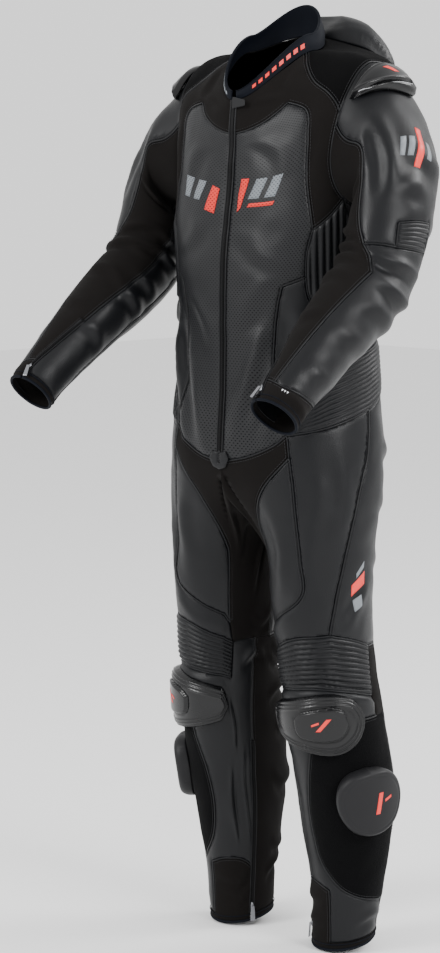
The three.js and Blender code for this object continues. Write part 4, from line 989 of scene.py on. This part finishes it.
def hump():
    loop = curve(HUMP, 5, "body")
    rim = np.concatenate([loop, (loop * [-1, 1] + [360, 0])[::-1][1:-1]])
    centre = curve([(180, 296), (180, 150), (180, 12)], 5, "body")[1:-1]
    q, tris = fill(np.concatenate([loop, centre]), "body", 5)
    u, at = q[:, 0], q[:, 1]
    p, n = body(u, at), outward("body", u, at)
    gap = edge_gap(q * [WIDTH["body"], 1], rim * [WIDTH["body"], 1])
    crest = np.interp(at, *HUMP_PROFILE.T)
    h = 6 + (crest - 4) * rise(gap, 58) - 1.6 * np.exp(-(((gap - 13) / 1.6) ** 2))
    outer = p + n * h[:, None]
    inner = p + n * 1.8
    add_whole("back_hump", *shell(outer, inner, tris, np.abs(outer[:, 0]) < CENTRE), "leather")


hump()


# ---- collar: padded stand with a rounded top edge ----
COLLAR_TOP = (0, 24, -63, 70, 61, -103, 2, 57, 2.0)


def collar_point(theta, v):
    low = body(theta, 0 * theta)
    top = torso_point(COLLAR_TOP, theta)
    p = low + (top - low) * v[:, None]
    away = unit(stack(p[:, 0], p[:, 1] - 4, 0 * v))
    return p + away * (3 * np.sin(np.pi * v) * np.sin(np.radians(theta / 2)))[:, None]


def collar():
    first = 4.2
    theta = np.r_[np.arange(first, 180, 1.4), 180]
    heights = np.r_[0.012, 0.05:0.9:20j, 0.93, 0.96, 0.985, 1.0]
    t, v = (g.ravel() for g in np.meshgrid(theta, heights, indexing="ij"))
    p = collar_point(t, v)
    across = collar_point(np.minimum(t + 1, 180), v) - collar_point(np.maximum(t - 1, 0), v)
    rise_up = collar_point(t, np.minimum(v + 0.1, 1)) - collar_point(t, np.maximum(v - 0.1, 0))
    n = unit(np.cross(across, rise_up))
    n[t > 179.9, 0] = 0
    centre = torso_point(COLLAR_TOP, np.array([90.0]))[0] * [0, 1, 0]
    n *= np.sign(((p - centre) * n)[:, :2].sum(1))[:, None]
    quilt = 0.8 * np.exp(-(((v - 0.5) / 0.38) ** 2)) + 1.5 * np.exp(-(((v - 0.965) / 0.03) ** 2))
    dent = 1.0 * np.exp(-(((v - 0.915) / 0.012) ** 2))
    outer = p + n * (quilt - dent)[:, None]
    inner = p - n * 2.4
    tris = grid_faces(len(theta), len(heights))
    verts, faces = shell(outer, inner, tris, np.abs(outer[:, 0]) < 0.4)
    verts[np.abs(verts[:, 0]) < 0.4, 0] = 0
    add_whole("collar", verts, faces, "trim")


collar()


# ---- piping, threads, prints and zips laid along the surface ----
def surface(chart, u, at, side, lift):
    u, at = np.asarray(u, float), np.asarray(at, float)
    p, n = CHARTS[chart](u, at), outward(chart, u, at)
    h = relief(chart, u, at, side, p) + lift
    return (p + n * h[:, None]) * [side, 1, 1], n * [side, 1, 1]


def tube(path, normal, radius, sides=6, flat=1.0):
    """Round cord along a path; flat below 1 presses it on to the surface."""
    along = unit(np.gradient(path, axis=0))
    across = unit(np.cross(along, normal))
    up = np.cross(across, along)
    ang = np.arange(sides) * 2 * np.pi / sides
    out = np.cos(ang)[None, :, None] * across[:, None, :]
    ring = path[:, None, :] + radius * (out + flat * np.sin(ang)[None, :, None] * up[:, None, :])
    verts = ring.reshape(-1, 3)
    count = len(path)
    faces = []
    for k in range(count - 1):
        for j in range(sides):
            a, b = k * sides + j, k * sides + (j + 1) % sides
            faces += [(a, b, b + sides), (a, b + sides, a + sides)]
    for j in range(1, sides - 1):
        faces.append((0, j + 1, j))
        last = (count - 1) * sides
        faces.append((last, last + j, last + j + 1))
    return verts, np.array(faces)


def merged(parts):
    verts, faces, base = [], [], 0
    for v, f in parts:
        verts.append(v)
        faces.append(np.asarray(f) + base)
        base += len(v)
    return np.concatenate(verts), np.concatenate(faces)


# seams that carry a raised leather edge, by its radius
PIPED = {
    1.2: "hipCorner",
    1.3: "ribUp ribTop ribBack ribLow yokeV fieldBack calfSeamLow ankleTop ankleSide "
         "ribNotchTop ribNotchFront ribNotchBack ribNotchLow cuffFront textileBack",
    1.4: "hipBack sideBack backYokeLow backLow thighFrontOuter kneeOuter kneeSideTop "
         "kneeBackTop seatInner groinTop fieldTop inseam sleeveBack forearmBack",
    1.5: "frontSide shoulder armSide thighSeam thighFrontInner fieldFront elbowFrontTop "
         "elbowBackTop cuffTop cuffZipFront",
    1.6: "frontLow frontNotch armYoke armShoulder armBack ankleZipFront",
    1.7: "sleeveFrontTop elbowFront forearmFront",
    1.8: "hipTop hipBottomFront hipBottomBack kneeTopInner kneeTopOuter kneeBottom",
}


STITCH, STITCH_STEP = 3.2, 4.6   # length of a stitch, and from one to the next
STITCH_GAP = 4.2                 # from the seam to the thread
THREAD = 0.45                    # half width of the thread


def stitched(q, chart, side, shift, parts):
    """Thread dashes beside a seam, shift mm to one side of it."""
    p, n = CHARTS[chart](q[:, 0], q[:, 1]), outward(chart, q[:, 0], q[:, 1])
    along = unit(np.gradient(p, axis=0))
    beside = p + np.cross(along, n) * shift
    h = relief(chart, q[:, 0], q[:, 1], side, p) + groove(np.full(len(p), abs(shift))) + 0.25
    line = beside + n * h[:, None]
    run = np.r_[0, np.cumsum(np.linalg.norm(np.diff(line, axis=0), axis=1))]
    starts = np.arange(2, run[-1] - 4, STITCH_STEP)
    if len(starts) == 0:
        return

    def along_line(values, places):
        return np.stack([np.interp(places, run, values[:, k]) for k in range(3)], 1)

    a, b = along_line(line, starts), along_line(line, starts + STITCH)
    up = unit(along_line(n, starts))
    w = unit(np.cross(b - a, up)) * THREAD
    top = (a + b) / 2 + up * THREAD
    verts = np.stack([a - w, a + w, b + w, b - w, top - w * 0.4, top + w * 0.4], 1)
    box = np.array([(0, 5, 1), (0, 4, 5), (1, 5, 2), (2, 5, 4), (2, 4, 3), (3, 4, 0), (0, 1, 2), (0, 2, 3)])
    faces = (box[None] + 6 * np.arange(len(a))[:, None, None]).reshape(-1, 3)
    parts.append((verts.reshape(-1, 3) * [side, 1, 1], faces if side > 0 else faces[:, [0, 2, 1]]))


def seams_and_threads():
    """Raised edges along the seams and a thread line beside them, one object each side."""
    for side, end in ((1, "_left"), (-1, "_right")):
        cords, threads = [], []
        for name, radius in [(n, r) for r, names in PIPED.items() for n in names.split()]:
            chart = "sleeve" if name in SLEEVE_SEAMS else "body"
            q = seam_places(name, 5)
            if len(q) < 3:
                continue
            p, n = surface(chart, q[:, 0], q[:, 1], side, -0.5)
            v, f = tube(p, n, radius, flat=0.9)
            cords.append((v, f if side > 0 else f[:, [0, 2, 1]]))
            stitched(q, chart, side, STITCH_GAP, threads)
            stitched(q, chart, side, -STITCH_GAP, threads)
        add_object("seam_edges" + end, *merged(cords), "leather")
        if threads:
            add_object("seam_threads" + end, *merged(threads), "thread", smooth=False)


seams_and_threads()


# ---- zips ----
def beside_front(x, at):
    """Place round the chart that lies x mm out from the front centre line, for each station."""
    grid = np.linspace(0, 20, 81)
    out = []
    for s in at:
        xs = body(grid, np.full(81, s))[:, 0]
        out.append(np.interp(abs(x), xs, grid) * np.sign(x))
    return np.array(out)


def zip_line(chart, x, at, low, high):
    """Places x mm beside a zip's middle line."""
    if chart == "body" and low[0] == 0:
        return beside_front(x, at)
    t = (at - low[1]) / (high[1] - low[1])
    middle = low[0] + t * (high[0] - low[0])
    step = np.linalg.norm(CHARTS[chart](middle + 0.5, at) - CHARTS[chart](middle - 0.5, at), axis=1)
    return middle + x / step


# faces of a box whose corners are its lower four and its upper four, each round the same way
BOX = np.array([
    (0, 2, 1), (0, 3, 2), (4, 5, 6), (4, 6, 7), (0, 1, 5), (0, 5, 4),
    (1, 2, 6), (1, 6, 5), (2, 3, 7), (2, 7, 6), (3, 0, 4), (3, 4, 7),
])


def zip_parts(chart, low, high, half):
    """Tape with teeth, and the two leather edges beside it, as two meshes."""
    at = np.arange(low[1] + 0.5, high[1], 5.0)
    at = np.r_[at, high[1] - 0.3]
    columns = half * np.array([-1, -0.72, -0.5, -0.3, 0, 0.3, 0.5, 0.72, 1])
    lifts = np.array([0.2, 0.7, 0.7, 0.6, 0.2, 0.6, 0.7, 0.7, 0.2])
    tops, lows = [], []   # upper and lower skin, a column at a time
    for x, lift in zip(columns, lifts):
        u = zip_line(chart, x, at, low, high)
        p, n = surface(chart, u, at, 1, lift + 0.2)
        tops.append(p)
        lows.append(p - n * 1.6)
    top, bottom = np.stack(tops, 1), np.stack(lows, 1)
    tape = shell(top.reshape(-1, 3), bottom.reshape(-1, 3), grid_faces(len(at), len(columns)))
    teeth = []
    stops = np.arange(low[1] + 2, high[1] - 2, 3.0)
    for k, x in enumerate((-0.17 * half, 0.17 * half)):
        s = stops + 1.5 * k
        u = zip_line(chart, x, s, low, high)
        p, n = surface(chart, u, s, 1, 0.9)
        q, _ = surface(chart, u, s + 1.0, 1, 0.9)
        along = unit(q - p)
        across = unit(np.cross(along, n))
        corners = [p + across * (i * 0.24 * half) + along * (j * 0.75) + n * m
                   for m in (-0.5, 0.9) for i, j in ((-1, -1), (1, -1), (1, 1), (-1, 1))]
        verts = np.stack(corners, 1)
        faces = BOX[None] + 8 * np.arange(len(p))[:, None, None]
        teeth.append((verts.reshape(-1, 3), faces.reshape(-1, 3)))
    welts = []
    for x in (-half * 0.9, half * 0.9):
        u = zip_line(chart, x, at, low, high)
        p, n = surface(chart, u, at, 1, 0.9)
        welts.append(tube(p, n, half * 0.22, sides=8, flat=0.8))
    return merged([tape] + teeth), merged(welts)


SLIDER_SIDES = 12


def slider(chart, low, high, at, half):
    u = zip_line(chart, 0.0, np.array([at, at + 1.0]), low, high)
    p, n = surface(chart, u, np.array([at, at + 1.0]), 1, 1.2)
    along = unit(p[1:] - p[:1])[0]
    across = unit(np.cross(along[None], n[:1]))[0]
    verts, faces = [], []
    for h, scale in ((-1.0, 1.0), (1.6, 1.0), (2.6, 0.8)):
        for k in range(SLIDER_SIDES):
            a = 2 * math.pi * k / SLIDER_SIDES
            verts.append(p[0] + n[0] * h + across * math.cos(a) * half * 0.62 * scale
                         + along * math.sin(a) * 6.2 * scale)
    m = SLIDER_SIDES
    for r in range(2):
        for k in range(m):
            a, b = r * m + k, r * m + (k + 1) % m
            faces += [(a, b, b + m), (a, b + m, a + m)]
    faces += [(2 * m, 2 * m + k, 2 * m + k + 1) for k in range(1, m - 1)]
    faces += [(0, k + 1, k) for k in range(1, m - 1)]
    return np.array(verts), np.array(faces)


ZIPS = {
    "main_zip": ("body", (0, 0), (0, 706), 6.4, 12),
    "cuff_zip": ("sleeve", (-50, 470), (-14, 588), 3.4, 578),
    "ankle_zip": ("body", (-82, 1180), (-55, 1478), 3.8, 1466),
}
for zip_name, (chart, low, high, half, stop) in ZIPS.items():
    (tape_v, tape_f), (welt_v, welt_f) = zip_parts(chart, low, high, half)
    slide_v, slide_f = slider(chart, low, high, stop, half)
    if zip_name == "main_zip":
        add_object(zip_name, tape_v, tape_f, "zip", replaces=[zip_name], smooth=False)
        add_object("main_zip_edges", welt_v, welt_f, "leather")
        add_object("main_zip_slider", slide_v, slide_f, "zip")
        continue
    both_sides(zip_name, tape_v, tape_f, "zip")
    for end, sx in (("_left", 1), ("_right", -1)):
        flip = [0, 1, 2] if sx > 0 else [0, 2, 1]
        add_object(zip_name + "_edges" + end, welt_v * [sx, 1, 1], welt_f[:, flip], "leather")
        add_object(zip_name + "_slider" + end, slide_v * [sx, 1, 1], slide_f[:, flip], "metal")


def rounded_copy(node_name, mat, radius_mm):
    """The CAD plate with its edges rounded, riding on its own body."""
    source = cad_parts[node_name]
    bm = bmesh.new()
    bm.from_mesh(source.data)
    bm.transform(source.matrix_world)
    bmesh.ops.remove_doubles(bm, verts=bm.verts, dist=1e-6)
    bmesh.ops.dissolve_limit(bm, angle_limit=0.02, verts=bm.verts, edges=bm.edges)
    bmesh.ops.bevel(
        bm, geom=list(bm.edges), offset=radius_mm / 1000, segments=2, profile=0.5, affect="EDGES")
    mesh = bpy.data.meshes.new(node_name)
    bm.to_mesh(mesh)
    bm.free()
    mesh.materials.append(MATS[mat])
    o = bpy.data.objects.new(node_name + "_plate", mesh)
    bpy.context.scene.collection.objects.link(o)
    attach(o, node_name)
    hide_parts(node_name)


rounded_copy("main_zip_pull", "leather", 0.6)
for pull_name in ("cuff_zip_pull", "ankle_zip_pull"):
    for end in ("_left", "_right"):
        rounded_copy(pull_name + end, "metal", 0.45)

# ---- shield tab over the lower end of the main zip ----
TAB = [(0, 702), (3.4, 701), (4.4, 712), (2.6, 724), (0, 728), (-2.6, 724), (-4.4, 712), (-3.4, 701)]


def straight_loop(points, chart, pitch):
    pts = np.array(list(points) + [points[0]], float)
    w = np.array([WIDTH[chart], 1])
    out = []
    for a, b in zip(pts[:-1], pts[1:]):
        count = max(1, int(np.linalg.norm((b - a) * w) / pitch))
        out += [a + (b - a) * k / count for k in range(count)]
    return np.array(out)


def patch(name, chart, points, mat, side=1, lift=1.3, thick=0.25, pitch=4.0, height=None, replaces=()):
    """A thin flat piece made from the surface's own points, moved out."""
    loop = straight_loop(points, chart, pitch)
    q, tris = fill(loop, chart, pitch)
    u, at = q[:, 0], q[:, 1]
    p, n = CHARTS[chart](u, at), outward(chart, u, at)
    if height is None:
        h = relief(chart, u, at, side, p) + lift
    else:
        h = height(u, at) + lift
    outer = p + n * h[:, None]
    verts, faces = shell(outer, outer - n * thick, tris)
    if side < 0:
        verts, faces = verts * [-1, 1, 1], faces[:, [0, 2, 1]]
    uv = np.stack([u * WIDTH[chart], at], 1)
    return add_object(name, verts, faces, mat, replaces=replaces, uv=np.concatenate([uv, uv]))


patch("zip_end_tab", "body", TAB, "leather", lift=3.4, thick=1.4, pitch=2.0, replaces=["zip_end_tab"])

# ---- generic prints: slanted bars in grey and red ----
def sleeve_bar(u):
    return [(u, 118), (u + 8, 118), (u + 4, 140), (u - 4, 140)]


def cuff_mark(u):
    return [(u, 573), (u + 4, 573), (u + 2, 577)]


THIGH_LOW = [(81, 926), (88, 918), (88, 936), (81, 944)]
THIGH_MIDDLE = [(80, 902), (92, 882), (92, 902), (80, 920)]
THIGH_HIGH = [(84, 884), (91, 866), (91, 876), (84, 892)]
# name, chart, side, finish, corners
PRINTS = [
    ("chest_bar_1", "body", 1, "red_dots", [(5.0, 236), (9.0, 236), (5.5, 292), (4.0, 300), (4.0, 268)]),
    ("chest_bar_2", "body", 1, "grey_dots", [(13, 238), (19, 238), (15, 276), (9, 276)]),
    ("chest_bar_3", "body", 1, "grey_dots", [(22, 238), (28, 238), (24, 276), (18, 276)]),
    ("chest_bar_4", "body", 1, "red_dots", [(10, 284), (24, 284), (23, 291), (9, 291)]),
    ("chest_bar_5", "body", -1, "grey_dots", [(22, 244), (28, 244), (30, 282), (25, 282)]),
    ("chest_bar_6", "body", -1, "grey_dots", [(12, 244), (18, 244), (21, 282), (16, 282)]),
    ("chest_bar_7", "body", -1, "red_dots", [(4, 256), (8, 250), (12, 298), (6, 304)]),
    ("sleeve_bar_1", "sleeve", 1, "grey", sleeve_bar(56)),
    ("sleeve_bar_2", "sleeve", 1, "grey", sleeve_bar(68)),
    ("sleeve_bar_3", "sleeve", 1, "red", [(82, 106), (92, 106), (84, 152), (74, 152)]),
    ("sleeve_bar_4", "sleeve", 1, "grey", sleeve_bar(96)),
    ("sleeve_bar_5", "sleeve", -1, "grey", sleeve_bar(56)),
    ("sleeve_bar_6", "sleeve", -1, "red", [(72, 106), (82, 106), (74, 152), (64, 152)]),
    ("thigh_bar_1", "body", 1, "grey", THIGH_LOW),
    ("thigh_bar_2", "body", 1, "red", THIGH_MIDDLE),
    ("thigh_bar_3", "body", 1, "grey", THIGH_HIGH),
    ("thigh_bar_4", "body", -1, "grey", THIGH_LOW),
    ("thigh_bar_5", "body", -1, "red", THIGH_MIDDLE),
    ("cuff_mark_1", "sleeve", 1, "chip", cuff_mark(34)),
    ("cuff_mark_2", "sleeve", 1, "chip", cuff_mark(40)),
    ("cuff_mark_3", "sleeve", 1, "chip", cuff_mark(46)),
]
for print_name, chart, side, mat, corners in PRINTS:
    patch(print_name, chart, corners, mat, side=side, lift=1.35)


# small red strokes on the hard pieces: name, chart, outline and height of the piece, corners
STROKES = [
    ("knee_stroke", "body", KNEE_ARMOUR, knee_armour_height,
     [(38, 1116), (41, 1116), (49, 1098), (46, 1098)]),
    ("knee_stroke_short", "body", KNEE_ARMOUR, knee_armour_height,
     [(36, 1106), (41, 1102), (41, 1105), (36, 1109)]),
    ("puck_stroke", "body", PUCK, puck_height, [(70, 1226), (73, 1226), (70, 1258), (67, 1258)]),
    ("puck_stroke_short", "body", PUCK, puck_height, [(74, 1238), (79, 1234), (79, 1238), (74, 1242)]),
    ("shoulder_stroke", "sleeve", SHOULDER, shoulder_height, [(82, 22), (88, 22), (94, 34), (88, 34)]),
]


def pad_patch(name, chart, pad_outline, height_of, corners, side):
    """A stroke that follows the top of a hard piece."""
    rim = smooth_loop(pad_outline, chart, 3) * [WIDTH[chart], 1]

    def height(u, at):
        return height_of(edge_gap(np.stack([u * WIDTH[chart], at], 1), rim), u, at)

    patch(name, chart, corners, "red", side=side, lift=0.35, thick=0.3, pitch=1.6, height=height)


for end, side in (("_left", 1), ("_right", -1)):
    for stroke, *what in STROKES:
        pad_patch(stroke + end, *what, side)


def band(name, path, normal, radius, mat, side):
    v, f = tube(path, normal, radius, sides=8)
    add_object(name, v * [side, 1, 1], f if side > 0 else f[:, [0, 2, 1]], mat)


# ---- bound edges at cuffs and hems, a thin bright band along the lip of each shoulder vent ----
for end, side in (("_left", 1), ("_right", -1)):
    for name, chart, first, last, at in (("cuff_binding", "sleeve", -12, 344, 599.0),
                                         ("hem_binding", "body", -53, 303, 1489.0)):
        u = np.linspace(first, last, 90)
        s = np.full(90, at)
        p, n = surface(chart, u, s, 1, -0.9)
        band(name + end, p, n, 2.3, "trim", side)
        s = np.full(90, at - 9.0)
        p, n = surface(chart, u, s, 1, 0.9)
        band(name + "_edge" + end, p, n, 0.8, "trim", side)
    vent = curve([(46, 26), (56, 42), (72, 52), (92, 53), (106, 47)], 2.5, "sleeve")
    p, n = CHARTS["sleeve"](vent[:, 0], vent[:, 1]), outward("sleeve", vent[:, 0], vent[:, 1])
    rim = smooth_loop(SHOULDER, "sleeve", 3) * [WIDTH["sleeve"], 1]
    gap = edge_gap(vent * [WIDTH["sleeve"], 1], rim)
    lift = shoulder_height(gap, vent[:, 0], vent[:, 1])
    # a thin bright band laid along the crest of the lip beside the vent's groove
    band("vent_lip" + end, p + n * lift[:, None], n, 0.45, "chip", side)


# small dashes on the collar band, red on the wearer's left and grey on the right
def collar_dashes():
    for side, first, last, mat in ((1, 26, 82, "red"), (-1, 14, 60, "grey")):
        parts = []
        for t in np.arange(first, last, 7.0):
            a = np.array([t, t + 4.2, t + 4.8, t + 0.6])
            v = np.array([0.34, 0.34, 0.60, 0.60])
            p = collar_point(a, v)
            nrm = unit(np.cross(p[1] - p[0], p[3] - p[0])[None])[0]
            if nrm @ (p[0] * [1, 1, 0]) < 0:
                nrm = -nrm
            top, low = p + nrm * 1.5, p - nrm * 0.2
            verts = np.concatenate([top, low]) * [side, 1, 1]
            parts.append((verts, BOX[:, [0, 2, 1]]))
        add_object("collar_dashes_" + mat, *merged(parts), mat, smooth=False)


collar_dashes()

# ---- what each piece of cloth was cut to: width, length, flat area (m, m, m2), how it is held ----
CUTS = {
    "chest_yoke": (0.210, 0.277, 0.0178, "stretched"),
    "front_panel": (0.152, 0.531, 0.0630, "hung"),
    "side_rib": (0.079, 0.159, 0.0110, "gathered"),
    "side_panel": (0.239, 0.367, 0.0450, "hung"),
    "hip_rib": (0.225, 0.141, 0.0236, "gathered"),
    "thigh_side": (0.255, 0.384, 0.0345, "hung"),
    "thigh_front": (0.115, 0.283, 0.0196, "hung"),
    "knee_rib": (0.212, 0.134, 0.0240, "gathered"),
    "puck_field": (0.179, 0.309, 0.0460, "hung"),
    "shin": (0.266, 0.467, 0.0460, "hung"),
    "ankle": (0.323, 0.100, 0.0105, "stretched"),
    "calf": (0.268, 0.467, 0.1000, "stretched"),
    "sleeve_upper": (0.300, 0.365, 0.0720, "hung"),
    "sleeve_rib": (0.080, 0.064, 0.0042, "gathered"),
    "forearm": (0.207, 0.343, 0.0570, "hung"),
    "sleeve_textile": (0.134, 0.446, 0.0370, "stretched"),
    "sleeve_inner": (0.120, 0.460, 0.0310, "hung"),
    "cuff": (0.239, 0.051, 0.0077, "stretched"),
    "back_yoke": (0.548, 0.149, 0.0580, "stretched"),
    "back_panel": (0.440, 0.530, 0.1720, "hung"),
    "seat": (0.608, 0.398, 0.1940, "hung"),
    "inner_thigh": (0.386, 0.467, 0.0665, "stretched"),
    "zip_end_tab": (0.043, 0.027, 0.0009, "laid"),
}


def numbered(name, first, last):
    return [f"{name}_{k}" for k in range(first, last + 1)]


# pieces sewn or printed on a panel, listed under it; the loop below only looks them up
WITH = {
    "front_panel_left": numbered("chest_bar", 1, 4) + ["main_zip_edges"],
    "front_panel_right": numbered("chest_bar", 5, 7),
    "sleeve_upper_left": numbered("sleeve_bar", 1, 4),
    "sleeve_upper_right": numbered("sleeve_bar", 5, 6),
    "seat": numbered("thigh_bar", 1, 5),
}
for end in ("_left", "_right"):
    WITH["side_panel" + end] = ["seam_edges" + end]
    WITH["cuff" + end] = ["cuff_binding" + end, "cuff_binding_edge" + end]
    WITH["ankle" + end] = ["hem_binding" + end, "hem_binding_edge" + end, "ankle_zip_edges" + end]
    WITH["sleeve_textile" + end] = ["cuff_zip_edges" + end]
WITH["cuff_left"] += numbered("cuff_mark", 1, 3)
for cut_name, (width, length, area, held) in CUTS.items():
    for end in ("", "_left", "_right"):
        piece = objects.get(cut_name + end)
        if piece is not None:
            sewn_on = [objects[k] for k in WITH.get(cut_name + end, [])]

# ---- stage, light and camera ----
def area_light(name, place, target, size, power_w, colour=(1, 1, 1)):
    data = bpy.data.lights.new(name, "AREA")
    data.shape = "DISK"
    data.size = size
    data.energy = power_w
    data.color = colour
    o = bpy.data.objects.new(name, data)
    o.location = place
    o.rotation_euler = (Vector(target) - Vector(place)).to_track_quat("-Z", "Y").to_euler()
    bpy.context.scene.collection.objects.link(o)
    return o


FLOOR, FLOOR_HALF = -1.402, 9   # height of the floor and half its side, m


def make_stage():
    mesh = bpy.data.meshes.new("floor")
    corners = [(x * FLOOR_HALF, y * FLOOR_HALF, FLOOR) for x, y in ((-1, -1), (1, -1), (1, 1), (-1, 1))]
    mesh.from_pydata(corners, [], [(0, 1, 2, 3)])
    floor = bpy.data.objects.new("floor", mesh)
    mesh.materials.append(material("pale_floor", (0.86, 0.86, 0.86), 0.9, spec=0.2))
    bpy.context.scene.collection.objects.link(floor)
    world = bpy.data.worlds.new("studio")
    world.use_nodes = True
    world.node_tree.nodes["Background"].inputs["Color"].default_value = (1, 1, 1, 1)
    world.node_tree.nodes["Background"].inputs["Strength"].default_value = 1.35
    bpy.context.scene.world = world
    mid = (0.0, 0.0, -0.55)
    area_light("key", (-1.2, -3.6, 1.6), mid, 1.6, 130)
    area_light("side", (3.6, -0.2, 0.9), mid, 1.5, 110)
    area_light("back", (1.5, 3.0, 1.6), mid, 1.5, 90)


def make_camera():
    azimuth, pitch, yaw, distance = math.radians(43.5), math.radians(7.2), math.radians(1.2), 4.45
    data = bpy.data.cameras.new("camera")
    data.lens = 108.0
    data.sensor_width = 36.0
    data.clip_end = 50
    o = bpy.data.objects.new("camera", data)
    o.location = (math.sin(azimuth) * distance, -math.cos(azimuth) * distance, -0.100)
    b = azimuth + yaw
    look = Vector((-math.sin(b) * math.cos(pitch), math.cos(b) * math.cos(pitch), -math.sin(pitch)))
    o.rotation_euler = look.to_track_quat("-Z", "Y").to_euler()
    bpy.context.scene.collection.objects.link(o)
    bpy.context.scene.camera = o


make_stage()
make_camera()
